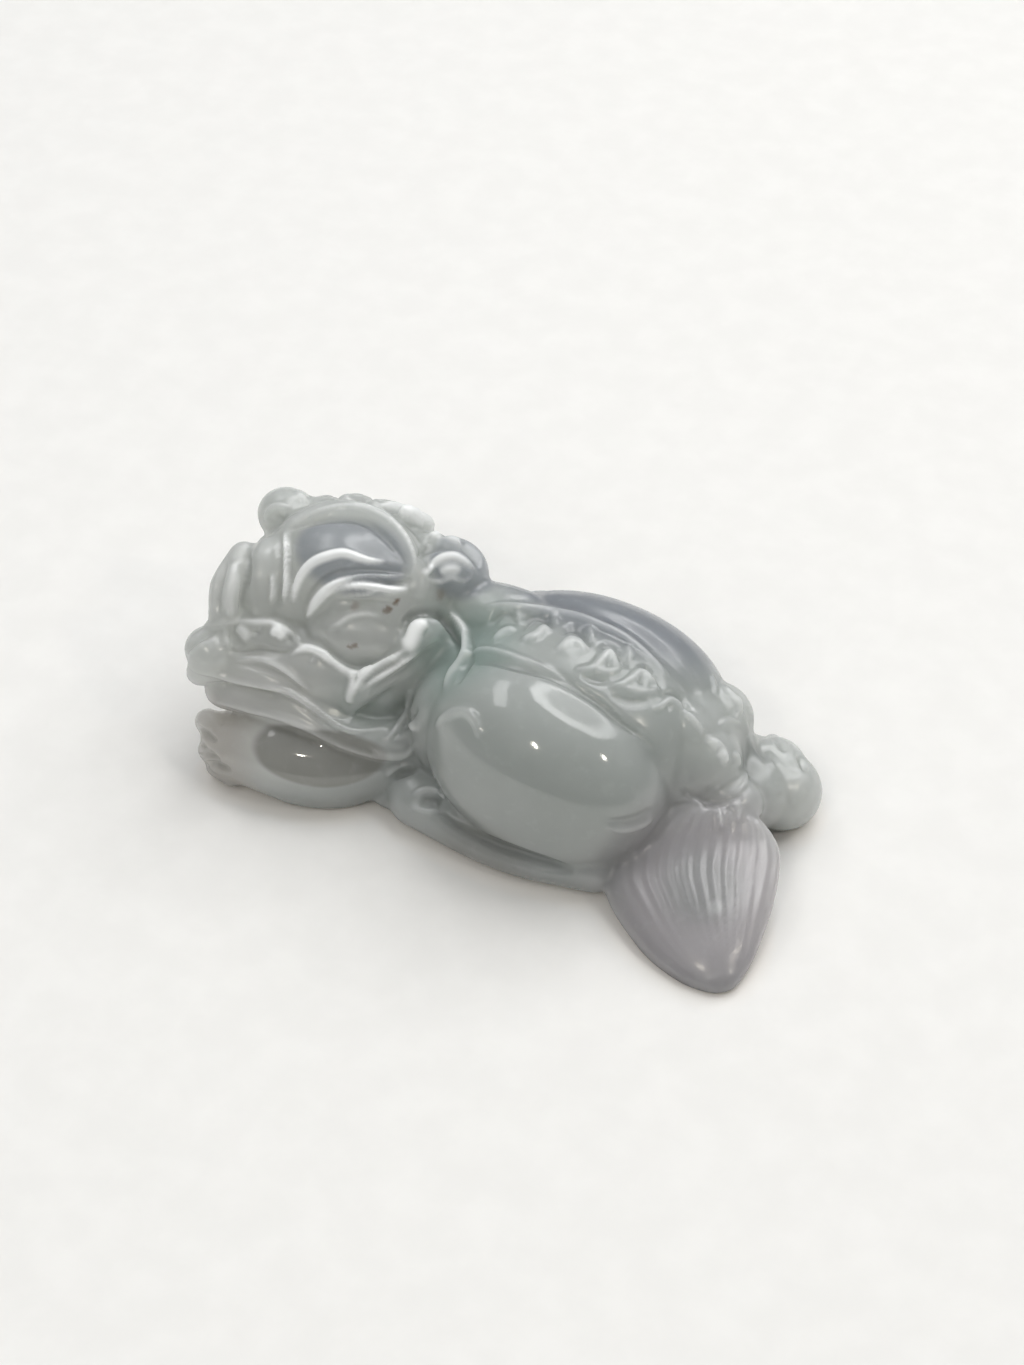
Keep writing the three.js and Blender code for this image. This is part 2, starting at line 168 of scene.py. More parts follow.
# Toes
TOE_TAPER = 1.1
PAWS = (
    dict(
        tips=((-19.9, -5, 3.6), (-19.4, -6, 2), (-18.9, -6.4, 0.9)),
        sizes=(0.95, 0.85, 0.65),
        ahead=(-1.6, 0.4, -0.1),
    ),
    dict(
        tips=((-6.9, -2.8, 2.4), (-7.1, -3.5, 1.7), (-7.3, -4.3, 1.1)),
        sizes=(0.66, 0.66, 0.66),
        ahead=(-0.7, 0.1, -0.1),
    ),
    dict(
        tips=((15.2, 10.1, 2), (16.6, 9.2, 2.2)),
        sizes=(0.7, 1),
        ahead=(0.5, 1.8, 0.2),
    ),
    dict(
        tips=((-18.1, 6.7, 1.9), (-18.1, 7.6, 1.6), (-18.1, 8.5, 1.3)),
        sizes=(0.66, 0.66, 0.66),
        ahead=(-0.7, 0, 0),
    ),
)

# Mane locks down the back of the skull
MANE_LOCKS = 7
MANE_SPREAD = 0.84
MANE_START = math.radians(34)
MANE_END = math.radians(112)
MANE_WAVE = 0.05
MANE_RADII = (0.6, 0.95, 1.1, 1.15, 1)

# Tail brush
BRUSH_LEFT = (
    (11.6, 0.4, 5.4), (10.4, -2.2, 4.2), (9.2, -5.4, 1.6),
    (12.6, -8.5, 0.8), (16, -10, 0.6), (18.9, -10.2, 0.5),
)
BRUSH_RIGHT = (
    (16, 1.4, 5.2), (17.9, 1, 4.4), (19.3, 0.1, 3.2),
    (20.1, -3, 2.4), (20.3, -6.8, 1.3), (19.9, -9.4, 0.5),
)
BRUSH_CROWN = 2.0
BRUSH_UNDER = 2.4
BRUSH_BLUNTNESS = 0.6
HAIR_GROOVES = 13
HAIR_SPREAD = 0.9
HAIR_WIDTH = 0.44
HAIR_DEPTH = 0.13
HAIR_FADE = 0.3
HAIR_FIRST_RING = 5
HAIR_LAST_RING = 56
HAIR_POINTS = 8

# The groove down each mane lock
STRAND_WIDTH = 0.3
STRAND_DEPTH = 0.14


def ridge(width, height, *path):
    """A carved line that stands up, through points that a viewer sees."""
    return dict(path=path, width=width, height=height)


def groove(width, depth, *path, pointed=False):
    """A carved line that is cut in; its floor is round unless it is pointed."""
    return dict(path=path, width=width, height=-depth, pointed=pointed)


# Strokes on each part of the carving, in millimetres right and up of what the viewer looks at
HAIR_STROKES = (
    # outer edge of the hair band
    ridge(
        0.3, 0.2, (-13.9, 11), (-13.1, 11.4), (-12, 11.7), (-10.8, 11.8), (-9.5, 11.6), (-8.3, 11),
        (-7.3, 10), (-6.7, 8.9), (-6.5, 7.9), (-6.7, 6.8),
    ),
    # groove between band and dome
    groove(
        0.45, 0.35, (-14.8, 10.2), (-13.8, 10.6), (-12.7, 10.9), (-11.1, 11), (-9.7, 10.7), (-8.5, 9.8),
        (-7.5, 8.6), (-7, 7.8),
    ),
    # locks behind the band
    ridge(0.5, 0.35, (-8.9, 11.8), (-7.9, 11.7), (-6.8, 11.2), (-6, 10.3)),
    ridge(0.5, 0.35, (-7.6, 11.6), (-6.5, 11.3), (-5.5, 10.7), (-4.5, 9.9)),
    # groove between these locks
    groove(0.35, 0.3, (-8.3, 11.4), (-7.2, 10.9), (-6.3, 10), (-5.9, 9.2), pointed=True),
    # curl over the near ear
    ridge(0.4, 0.3, (-5.6, 9.8), (-4.8, 9.9), (-3.9, 9.7), (-3.1, 9.2)),
)

BROW_STROKES = (
    # upper brow
    ridge(
        0.5, 0.42, (-14.6, 5.2), (-14.4, 6.3), (-13.9, 7.3), (-13.2, 8), (-12.3, 8.4), (-11.3, 8.6),
        (-10.5, 8.4), (-9.6, 8.1), (-8.3, 8),
    ),
    # groove under it
    groove(
        0.45, 0.3, (-13.9, 5), (-13.5, 6), (-12.7, 6.9), (-11.6, 7.4), (-10.1, 7.6), (-8.5, 7.5),
        (-6.9, 7.3),
    ),
    # crease between the brows
    ridge(
        0.28, 0.22, (-13.9, 4.7), (-13.2, 5.6), (-12.3, 6.4), (-11.1, 6.9), (-9.5, 7.1), (-7.8, 7.1),
        (-6.7, 7.4),
    ),
    # groove over the lower brow
    groove(0.35, 0.4, (-12.3, 6), (-11.2, 6.6), (-9.8, 6.8), (-8.1, 6.7), (-6.7, 6.8)),
    # lower brow
    ridge(
        0.5, 0.5, (-13.7, 4.2), (-13.1, 5.2), (-12.4, 6), (-11.5, 6.5), (-10.4, 6.6), (-9.3, 6.5),
        (-8.1, 6.2), (-6.8, 6.2),
    ),
    # inner fold of the lower brow
    ridge(0.3, 0.2, (-11.4, 5.7), (-10.5, 5.8), (-9.6, 5.9), (-8.9, 6.2)),
    # crease over the eye
    groove(0.4, 0.2, (-12.7, 4.5), (-11.9, 5.4), (-10.7, 5.5), (-9.1, 5.4), (-7.6, 5.2)),
)

EYE_STROKES = (
    # lower edge of the eye
    groove(0.6, 0.2, (-12.9, 3.4), (-12.4, 2.3), (-11.3, 1.4), (-10, 1.1), (-8.7, 1.5), (-7.7, 2.5)),
    # upper lid
    ridge(0.4, 0.18, (-12.4, 3.6), (-11.6, 3.9), (-10.8, 4.4), (-9.7, 4.6), (-8.5, 4.4)),
)

LOCK_STROKES = (
    # groove round the knob
    groove(
        0.55, 0.6, (-7.3, 3), (-7.1, 4), (-6.5, 4.6), (-5.6, 4.8), (-4.7, 4.6), (-4.1, 3.9), (-3.7, 3),
        (-3.5, 1.9),
    ),
    # knob of the lock
    ridge(1.1, 0.32, (-6.9, 2), (-6.7, 3), (-6.3, 3.7), (-5.5, 3.8)),
    # hollow in the knob
    groove(0.4, 0.3, (-5.8, 3.5), (-5.5, 3.2)),
    # upper edge of the lock
    ridge(0.38, 0.35, (-7.1, 2.2), (-8, 1.6), (-9.1, 1), (-9.9, 0.4), (-10.4, -0.4), (-10.8, -1.2)),
    # lower edge of the lock
    ridge(0.35, 0.3, (-6.1, 2), (-7.2, 1.4), (-8.3, 0.7), (-9.3, 0.1), (-10.1, -0.6)),
    # groove along the lock
    groove(0.28, 0.35, (-7.5, 1.4), (-8.5, 1), (-9.4, 0.4), (-10, -0.2), pointed=True),
    # hook at its end
    ridge(0.38, 0.35, (-10.7, 0.6), (-10.7, -0.2), (-10.9, -1), (-10.5, -1.4)),
    # groove under the lock
    groove(0.5, 0.28, (-4.8, 2.7), (-5.9, 1.8), (-7.1, 0.8), (-8.3, 0), (-9.5, -0.8)),
    # strand behind the lock
    ridge(
        0.42, 0.38, (-4.8, 5), (-3.8, 4.3), (-3.2, 3.4), (-3.1, 2.2), (-3.4, 1.4), (-4.1, 0.5),
        (-4.5, -0.5),
    ),
    # groove behind that strand
    groove(0.35, 0.3, (-2.8, 3.4), (-2.7, 2), (-3.1, 1), (-3.7, -0.1)),
)

FACE_STROKES = (
    # groove beside the near column
    groove(0.35, 0.35, (-15.4, 9.8), (-15.4, 8.2), (-15.5, 6.2), (-15.6, 5.1)),
    # line between column and dome
    ridge(0.35, 0.4, (-15.1, 10.2), (-15.1, 8.5), (-15.1, 6.8), (-15.2, 5.3)),
    # edge of the dome
    groove(0.3, 0.35, (-14.8, 10), (-14.8, 8.2), (-14.7, 6.5)),
    # inner edge of the column
    ridge(0.3, 0.3, (-16, 7.4), (-15.9, 6.3), (-16.1, 5.3)),
    # groove left of the column
    groove(0.4, 0.45, (-17.7, 9.2), (-17.7, 7.5), (-17.9, 6.2), (-18.1, 4.6)),
    # far ridge
    ridge(0.6, 0.35, (-18.4, 8.2), (-18.7, 6.8), (-18.9, 5.5), (-18.7, 4.3)),
    # inner edge of the far ridge
    ridge(0.25, 0.2, (-18.1, 7.4), (-18.2, 6.2), (-18.3, 4.8)),
    # groove left of the far ridge
    groove(0.4, 0.4, (-19.1, 8.2), (-19.5, 6.8), (-19.7, 5.5), (-19.5, 4.5)),
)

NOSE_STROKES = (
    # line over the nose
    ridge(
        0.35, 0.28, (-20.5, 3.7), (-19.3, 4), (-18.4, 4.1), (-17.1, 4), (-16.1, 4), (-15.1, 3.6),
        (-14.5, 3), (-14.1, 2.4),
    ),
    # edge of the nose tip
    ridge(0.35, 0.3, (-19.1, 3.8), (-19.1, 3), (-18.9, 2.2)),
    # wing of the far nostril
    ridge(0.5, 0.4, (-18.4, 3.7), (-17.9, 3.4), (-17.5, 2.8)),
    # far nostril
    groove(0.35, 0.35, (-17.2, 3.5), (-16.9, 3.2)),
    # wing of the near nostril
    ridge(0.5, 0.45, (-16.1, 3.2), (-15.6, 3.4), (-15.2, 2.8)),
    # near nostril
    groove(0.35, 0.35, (-14.9, 3.1), (-14.7, 2.8)),
    # groove below the nostrils
    groove(0.4, 0.28, (-18.9, 2.1), (-17.8, 2), (-16.7, 2.2), (-15.5, 2), (-14.4, 2.2)),
    # fold of the tip
    groove(0.4, 0.3, (-21.7, 2.1), (-21.1, 2.7), (-20.4, 3.2), (-19.7, 3.4)),
    # ridge of the tip
    ridge(0.3, 0.2, (-21.5, 1.7), (-21.1, 2.3), (-20.3, 2.8)),
    # whisker pad
    ridge(0.35, 0.28, (-14.9, 1.7), (-14.3, 2.1), (-13.3, 2.2), (-12.5, 1.8), (-12.1, 1.3)),
    # root of the whisker
    ridge(0.35, 0.28, (-13.4, 1.6), (-13.2, 1.4)),
    # fold from nose to cheek
    ridge(0.4, 0.28, (-14.3, 2.6), (-13.1, 2.2), (-12.1, 1.5), (-11.1, 0.8), (-10.1, 0.6), (-9.2, 1)),
)

MOUTH_STROKES = (
    # fold of the upper lip
    ridge(0.35, 0.28, (-18.5, 1.5), (-17.3, 1.6), (-16.1, 1.4), (-15.1, 0.8), (-14.1, 0), (-13.3, -0.6)),
    # groove under the fold
    groove(0.38, 0.22, (-18.3, 1.2), (-16.8, 1.1), (-15.6, 0.6), (-14.5, -0.1), (-13.5, -1)),
    # edge of the upper lip
    ridge(
        0.33, 0.28, (-21.7, 1.4), (-21.1, 0.8), (-20, 0.6), (-18.5, 0.2), (-16.7, -0.2), (-15.1, -0.6),
        (-13.9, -1.3), (-12.8, -2.1), (-11.7, -2.8), (-10.7, -3.2), (-9.5, -3.2), (-8.3, -2.9),
    ),
    # mouth line
    groove(
        0.33, 0.3, (-20.6, -0.1), (-18.7, -0.2), (-16.8, -0.5), (-15.2, -1), (-13.9, -1.7),
        (-12.7, -2.5), (-11.6, -3.2), (-10.5, -3.6), pointed=True,
    ),
    # edge of the lower jaw
    ridge(
        0.35, 0.25, (-20.2, -1.2), (-19.1, -1.4), (-17.5, -1.8), (-15.5, -2.3), (-13.5, -3.1),
        (-11.5, -4.1), (-10.1, -4.6), (-8.6, -5), (-7.3, -5), (-6.5, -4.6),
    ),
    # curl at the corner of the mouth
    ridge(0.35, 0.3, (-8.5, -4), (-7.8, -3.2), (-7.3, -2.5), (-6.9, -1.9), (-6.9, -1.2), (-6.7, -0.6)),
    # groove beside that curl
    groove(0.35, 0.3, (-8, -3.8), (-7.3, -3.1), (-6.9, -2.4), (-6.3, -1.7)),
    # curl under the jaw
    ridge(0.4, 0.25, (-9.3, -4.1), (-8.8, -4.6), (-8, -4.8), (-7.1, -4.7), (-6.3, -4)),
    # tuft behind the jaw
    ridge(0.4, 0.3, (-6.7, -2.6), (-6.4, -3.2)),
)

EAR_STROKES = (
    # rim of the near cup
    ridge(0.45, 0.35, (-5.9, 7), (-5.4, 7.7), (-4.6, 8.3), (-3.8, 8.4), (-3.1, 8), (-2.5, 7.4)),
    # floor of the near cup
    ridge(0.6, 0.25, (-4.9, 7.3), (-4.1, 7.6), (-3.3, 7.4)),
    # lower edge of the near cup
    ridge(0.35, 0.2, (-5.9, 6.9), (-4.9, 6.7), (-4, 7), (-3.2, 6.8), (-2.5, 7.3)),
    # groove round the near cup
    groove(0.6, 0.5, (-6.2, 8.3), (-5.5, 9), (-4.5, 9.3), (-3.3, 9.2), (-2.5, 8.5), (-2.1, 7.6)),
    # floor of the far cup
    groove(0.6, 0.35, (-15.8, 10.9), (-15.1, 11.2)),
    # rim of the far cup
    ridge(0.32, 0.32, (-16.4, 10.7), (-16.2, 11.4), (-15.6, 11.8), (-14.7, 11.6)),
    # fold of the far ear
    ridge(0.3, 0.2, (-14.5, 12.7), (-13.9, 12.4), (-13.7, 11.8)),
)

BODY_STROKES = (
    # rim along the top of the haunch
    ridge(
        0.35, 0.25, (-3.3, 1.8), (-2.5, 2.1), (-1.5, 2.2), (0, 1.8), (1.5, 1.2), (2.8, 0.6),
        (4.4, -0.3),
    ),
    # groove along the top of the haunch
    groove(
        0.5, 0.35, (-2.8, 1.4), (-1.3, 1.4), (0.5, 1), (2.4, 0.6), (4.1, -0.2), (5.9, -1.4),
        (7.3, -2.6), (8.7, -3.6), (9.5, -4.4),
    ),
    # upper edge of the spine
    ridge(
        0.38, 0.3, (-1.9, 5), (-0.5, 5.2), (1.2, 5), (2.9, 4.7), (4.5, 4.4), (6, 3.8), (7.3, 3.2),
        (8.5, 2.3), (9.5, 1.4), (10.4, 0.4),
    ),
    # groove beyond that edge
    groove(
        0.55, 0.1, (-0.8, 5.5), (1.9, 5.5), (4.1, 5.1), (6.3, 4.4), (8.3, 3.4), (10, 2), (11.5, 0.4),
        (12.5, -1),
    ),
    # curl on the shoulder
    ridge(0.5, 0.22, (-5.1, -3.1), (-4.6, -2.4), (-3.7, -1.9), (-2.9, -2), (-2.3, -2.8), (-2.1, -3.7)),
    # fold at the hip
    ridge(0.4, 0.2, (6.3, -9.6), (7.3, -9.8), (8.5, -9.6), (9.5, -9)),
    # groove above the fold
    groove(0.4, 0.15, (6.3, -9.2), (7.3, -9.3), (8.5, -9), (9.3, -8.4)),
    # groove between haunch and foot
    groove(0.7, 0.5, (-5.5, -7.8), (-4.1, -9.4), (-1.6, -10.8), (1.2, -11.8), (4.1, -12.6)),
    # groove of the far hip
    groove(0.4, 0.35, (15.2, -1.3), (15.9, -2.6), (16.4, -4), (17.2, -5.4)),
    # thin folds of the far hip
    ridge(0.25, 0.2, (13.3, 0.5), (13.5, -0.2), (13.6, -0.8)),
    ridge(0.3, 0.22, (13.8, -2.8), (14.5, -2.5), (15.3, -2.8)),
    # ridge of the far thigh
    ridge(0.35, 0.22, (15, -0.8), (15.7, -2.4), (16.5, -4.1), (17.6, -6)),
    # strand on the far thigh
    ridge(0.3, 0.25, (13.9, -0.1), (14.7, -0.9), (15.2, -1.7), (15, -2.5)),
)

SPINE_STROKES = (
    # arches over the knobs
    groove(0.36, 0.34, (-1.3, 3.9), (-0.9, 4.5), (-0.3, 4.7), (0.3, 4.2)),
    groove(0.36, 0.34, (0.7, 3.5), (1.1, 4.2), (1.8, 4.4), (2.5, 4.1), (2.7, 3.6)),
    groove(0.36, 0.34, (3.3, 3.2), (3.7, 3.6), (4.3, 3.6), (4.9, 3.1), (5.2, 2.4)),
    groove(0.36, 0.34, (5.7, 2.2), (6.2, 2.5), (6.9, 2.2), (7.3, 1.5), (7.8, 1)),
    groove(0.36, 0.34, (8.3, 1), (8.9, 1), (9.4, 0.6), (9.8, 0), (10, -0.5)),
    groove(0.36, 0.34, (10, -1), (10.6, -0.7), (11.3, -1.2), (11.9, -2)),
    # strands between the arches
    ridge(0.36, 0.25, (0.3, 4.8), (0.4, 4)),
    ridge(0.36, 0.25, (2.8, 4.6), (2.9, 3.9)),
    ridge(0.36, 0.25, (5.2, 3.8), (5.3, 2.8)),
    ridge(0.36, 0.25, (7.7, 2.5), (7.9, 1.5)),
    # dips under two knobs
    groove(0.5, 0.25, (4.7, 0.4), (5.6, 0.2), (6.4, 0.1)),
    groove(0.55, 0.25, (6.7, -0.8), (7.9, -1.2), (9.1, -1.2)),
    # strand to the tail root
    ridge(0.3, 0.3, (11.4, -1.8), (12.1, -2.5), (12.8, -3.4)),
    # hollow in the drop
    groove(0.3, 0.35, (13.7, -4.3), (13.9, -4.8)),
    # crease beside the drop
    ridge(0.3, 0.25, (14.9, -4.6), (15.1, -5.6)),
    # first knob
    ridge(0.38, 0.24, (-1.3, 2.7), (-0.8, 3.2), (-0.3, 3.5), (0.3, 3.6)),
    # second knob
    ridge(0.42, 0.3, (0.6, 2.8), (1.2, 3), (1.7, 3.2), (2.1, 3.6), (2.6, 3.4)),
    # base of the third knob
    ridge(0.8, 0.12, (3.2, 2.2), (4, 2.3), (4.7, 2.2)),
    # third knob
    ridge(0.45, 0.28, (2.9, 2), (3.4, 2.4), (3.9, 2.8), (4.5, 2.6), (5.1, 2.1)),
    # base of the fourth knob
    ridge(0.85, 0.14, (5.7, 1), (6.3, 1.4), (6.9, 1.2)),
    # fourth knob
    ridge(0.38, 0.3, (4.3, 0.9), (5.2, 0.9), (5.9, 1.4), (6.4, 2), (6.8, 1.8), (7.3, 1)),
    # lower edge of the fourth knob
    ridge(0.35, 0.22, (5.5, 0.8), (6.3, 0.7), (7.3, 0.9)),
    # base of the fifth knob
    ridge(0.85, 0.14, (7.9, -0.2), (8.5, 0), (9.2, -0.2)),
    # fifth knob
    ridge(0.38, 0.3, (6.5, -0.2), (7.3, -0.1), (8.1, 0.4), (8.6, 0.8), (9.1, 0.4), (9.9, -0.4)),
    # lower edge of the fifth knob
    ridge(0.35, 0.22, (7.3, -0.3), (8.4, -0.6), (9.2, -0.6), (9.9, -0.4)),
    # sixth knob
    ridge(0.4, 0.3, (9.5, -1.8), (10.1, -1.4), (10.5, -1.1), (11, -1.3), (11.5, -1.9)),
    # hollows in three knobs
    groove(0.3, 0.35, (6.3, 1.2), (6.6, 1.2)),
    groove(0.32, 0.35, (8.4, 0), (8.7, 0.1)),
    groove(0.28, 0.3, (10.3, -1.6), (10.6, -1.6)),
    # drop on the tail root
    ridge(0.55, 0.42, (12.9, -3.8), (13.4, -4), (13.9, -4.6), (14.3, -5.4)),
)

FOOT_STROKES = (
    # hollow on the near hind foot
    groove(0.7, 0.4, (-6.3, -7.9), (-5.5, -7.8), (-4.7, -7.9)),
    # lid over the hollow
    ridge(0.4, 0.3, (-6.7, -7.6), (-5.9, -7.2), (-4.9, -7.3), (-4.3, -7.8)),
    # crease under the hollow
    ridge(0.3, 0.25, (-6.9, -8.2), (-6, -8.5), (-5.2, -8.6), (-4.4, -8.4)),
    # crease of the near hind foot
    ridge(0.35, 0.3, (-8.5, -6.3), (-8, -5.8), (-7.3, -5.5), (-6.7, -5.4)),
    # groove under that crease
    groove(0.4, 0.35, (-8, -6.4), (-7.3, -6), (-6.4, -5.8)),
    # crease behind the far toes
    groove(0.4, 0.15, (16.9, -4.4), (17.6, -4.6), (18.4, -5.4), (19.1, -5.7)),
    # gaps between the near toes
    groove(0.38, 0.45, (-21.1, -2.8), (-20.7, -3.2), (-20.2, -3.6), (-19.7, -4)),
    groove(0.38, 0.45, (-21.2, -3.8), (-20.6, -4.4), (-20.1, -4.9), (-19.5, -5.3)),
    groove(0.38, 0.45, (-20.6, -5.4), (-20, -5.5), (-19.4, -5.7), (-18.8, -5.9)),
    # nails of two toes
    ridge(0.3, 0.18, (-20.9, -2.6), (-20.5, -3), (-20.3, -3)),
    ridge(0.3, 0.18, (-20.7, -4.2), (-20.4, -4.5), (-20.3, -4.8)),
    # dimple of the paw
    groove(0.35, 0.2, (-19.5, -2.6), (-19.2, -2.6)),
    # gaps between the far toes
    groove(0.35, 0.3, (17.5, -3.6), (17.9, -4.1), (18.3, -4.6)),
    groove(0.35, 0.3, (19.1, -4.8), (19.4, -5.4), (19.6, -5.9)),
)

TAIL_STROKES = (
    # end of the tail root
    groove(0.45, 0.25, (11.2, -7), (12, -7.6), (12.9, -7.9), (14, -7.9), (14.9, -7.6), (15.7, -6.9)),
    # rim of the tail root
    ridge(0.3, 0.25, (15.5, -5.8), (15.5, -6.7), (15.1, -7.3), (14.3, -7.6)),
    # first strands of the brush
    ridge(0.32, 0.3, (11.5, -7.5), (12.1, -7.8), (12.7, -8.1)),
    ridge(0.35, 0.3, (13.6, -8.2), (13.9, -9), (14, -9.8)),
    ridge(0.32, 0.28, (14.5, -7.8), (15.1, -8.4), (15.1, -9.3)),
)

# Strokes on the far side, from behind
FAR_STROKES = (
    # curl on the far shoulder
    ridge(0.55, 0.25, (2.3, -2.8), (2.6, -0.9), (1.5, 0.5), (0.2, 0.2), (-0.3, -1.1)),
    # groove behind the far haunch
    groove(0.7, 0.3, (-12.9, -1.4), (-12.9, -3), (-12.3, -4.6), (-11, -6.4)),
    # groove between the far haunch and the ground
    groove(0.6, 0.35, (-9.5, -7.2), (-5, -8), (-0.5, -7.6), (2.2, -6)),
    # tuft at the far elbow
    ridge(0.45, 0.22, (6.2, -5.2), (6.8, -4.4), (7.8, -4.3), (8.4, -5)),
)

# Strokes on the far half of the face, from in front of it
FAR_FACE_STROKES = (
    # lid of the far eye
    ridge(0.5, 0.28, (7.2, -2.3), (6.4, -1.6), (5.1, -1.5), (3.6, -2.2)),
    # groove round the far eye
    groove(0.5, 0.25, (7.4, -3.2), (6.6, -4.1), (5.3, -4.3), (4, -3.7)),
    # far eyeball
    ridge(1, 0.25, (6.3, -3), (5.3, -2.9)),
    # far side of the mouth
    groove(0.5, 0.3, (7.6, -6.6), (5.9, -6.6), (4.3, -6.2), (2.5, -5.2)),
    # lip over it
    ridge(0.45, 0.25, (7.7, -5.8), (5.9, -5.9), (4, -5.4), (2.2, -4.3)),
    # curl behind the far cheek
    ridge(0.45, 0.22, (2.9, -3.8), (2.1, -3.1), (1.5, -3.7), (1, -4.4)),
)


# Directions, lines and forms

def rightward(side):
    """What is right for a viewer who stands this many degrees round from the front (-Y)."""
    side = math.radians(side)
    return Vector((math.cos(side), math.sin(side), 0.0))


def towards(side, height):
    """A direction from the stone: degrees round from the front (-Y) to its right, and degrees up."""
    side, height = math.radians(side), math.radians(height)
    return Vector((math.sin(side) * math.cos(height), -math.cos(side) * math.cos(height), math.sin(height)))


def smooth_line(line, count):
    """Points spread evenly along a smooth curve through the given ones."""
    given = [Vector(p) for p in line]
    ends = [2 * given[0] - given[1], *given, 2 * given[-1] - given[-2]]
    fine = []
    for a, b, c, d in zip(ends, ends[1:], ends[2:], ends[3:]):
        for step in range(CURVE_STEPS):
            t = step / CURVE_STEPS
            fine.append(0.5 * (2 * b + (c - a) * t + (2 * a - 5 * b + 4 * c - d) * t ** 2
                               + (3 * b - a - 3 * c + d) * t ** 3))
    fine.append(given[-1])
    lengths = np.cumsum([0] + [(q - p).length for p, q in zip(fine, fine[1:])])
    wanted = np.linspace(0, lengths[-1], count)
    coords = np.array(fine)
    return np.stack([np.interp(wanted, lengths, coords[:, i]) for i in range(3)], axis=1)


def ball(around, down):
    """A round lump of this many strips around and bands down."""
    lump = bmesh.new()
    bmesh.ops.create_uvsphere(lump, u_segments=around, v_segments=down, radius=1)
    return lump


def join(stone, lump):
    """Adds a finished lump to the stone."""
    mesh = bpy.data.meshes.new("lump")
    lump.to_mesh(mesh)
    lump.free()
    stone.from_mesh(mesh)
    bpy.data.meshes.remove(mesh)


def egg(stone, at, size, turn=(0, 0, 0), full=2.0):
    """A ball stretched by its half sizes; a fullness over 2 squares its shoulders a little."""
    lump = ball(*EGG_MESH)
    for vert in lump.verts:
        vert.co /= sum(abs(c) ** full for c in vert.co) ** (1 / full)
    bmesh.ops.scale(lump, vec=size, verts=lump.verts)
    spin = Euler([math.radians(a) for a in turn], "ZYX").to_matrix()
    bmesh.ops.rotate(lump, cent=(0, 0, 0), matrix=spin, verts=lump.verts)
    bmesh.ops.translate(lump, vec=at, verts=lump.verts)
    join(stone, lump)


def limb(stone, line, radii):
    """A round bar with domed ends, bent along a smooth line, its radii spread evenly along it."""
    stations = smooth_line(line, LIMB_RINGS + 1)
    along = np.gradient(stations, axis=0)
    along /= np.linalg.norm(along, axis=1)[:, None]
    side = Vector(along[0]).orthogonal().normalized()
    sides = []
    for direction in along:
        side = (side - Vector(direction) * side.dot(Vector(direction))).normalized()
        sides.append(side.copy())
    thickness = np.interp(np.linspace(0, 1, LIMB_RINGS + 1), np.linspace(0, 1, len(radii)), radii)
    bands = LIMB_RINGS + 2 * LIMB_DOME
    lump = ball(LIMB_ROUND, bands)
    for vert in lump.verts:
        band = round(math.acos(max(-1, min(1, vert.co.z))) / math.pi * bands)
        around = math.atan2(vert.co.y, vert.co.x)
        ring = min(max(band - LIMB_DOME, 0), LIMB_RINGS)
        dome = (band - LIMB_DOME - ring) / LIMB_DOME * math.pi / 2
        forward = Vector(along[ring])
        outward = sides[ring] * math.cos(around) + forward.cross(sides[ring]) * math.sin(around)
        vert.co = Vector(stations[ring]) + float(thickness[ring]) * (
            forward * math.sin(dome) + outward * math.cos(dome)
        )
    join(stone, lump)


def toes(stone, tips, sizes, ahead):
    """Short bars that all point the same way."""
    for tip, size in zip(tips, sizes):
        limb(stone, (Vector(tip) - Vector(ahead), tip), (size * TOE_TAPER, size))


def mane_line(across):
    """Where one lock lies down the skull, with a slight wave from side to side."""
    line = []
    for t in np.linspace(0, 1, len(MANE_RADII)):
        down = MANE_START + (MANE_END - MANE_START) * t
        wave = across + MANE_WAVE * math.sin(2 * math.pi * t)
        ring = math.sqrt(1 - wave * wave)
        line.append((
            SKULL["at"][0] + SKULL["size"][0] * wave,
            SKULL["at"][1] + SKULL["size"][1] * ring * math.sin(down),
            SKULL["at"][2] + SKULL["size"][2] * ring * math.cos(down),
        ))
    return line


BRUSH_EDGES = (smooth_line(BRUSH_LEFT, BRUSH_RINGS + 1), smooth_line(BRUSH_RIGHT, BRUSH_RINGS + 1))


def brush_spot(ring, sideways, upward):
    """A point of the brush: ring 0 at its root, sideways -1 at its left edge, upward 1 on its crown."""
    left, right = BRUSH_EDGES
    spot = (left[ring] * (1 - sideways) + right[ring] * (1 + sideways)) / 2
    swell = max(0, math.sin(math.pi * ring / BRUSH_RINGS)) ** BRUSH_BLUNTNESS
    height = BRUSH_CROWN if upward > 0 else BRUSH_UNDER
    return Vector((spot[0], spot[1], spot[2] + upward * swell * height))


def brush(stone):
    """A leaf drawn out between its two edges."""
    lump = ball(BRUSH_ROUND, BRUSH_RINGS)
    for vert in lump.verts:
        down = math.acos(max(-1, min(1, vert.co.z)))
        span = max(1e-5, math.sin(down))
        sideways = max(-1, min(1, vert.co.x / span))
        vert.co = brush_spot(round(down / math.pi * BRUSH_RINGS), sideways, vert.co.y / span)
    join(stone, lump)


def hair_line(sideways):
    """One groove between locks of hair, from the root to the tip."""
    crown = math.sqrt(1 - sideways * sideways)
    rings = np.linspace(HAIR_FIRST_RING, HAIR_LAST_RING, HAIR_POINTS).round().astype(int)
    return [brush_spot(ring, sideways, crown) for ring in rings]


# The stone in the rough

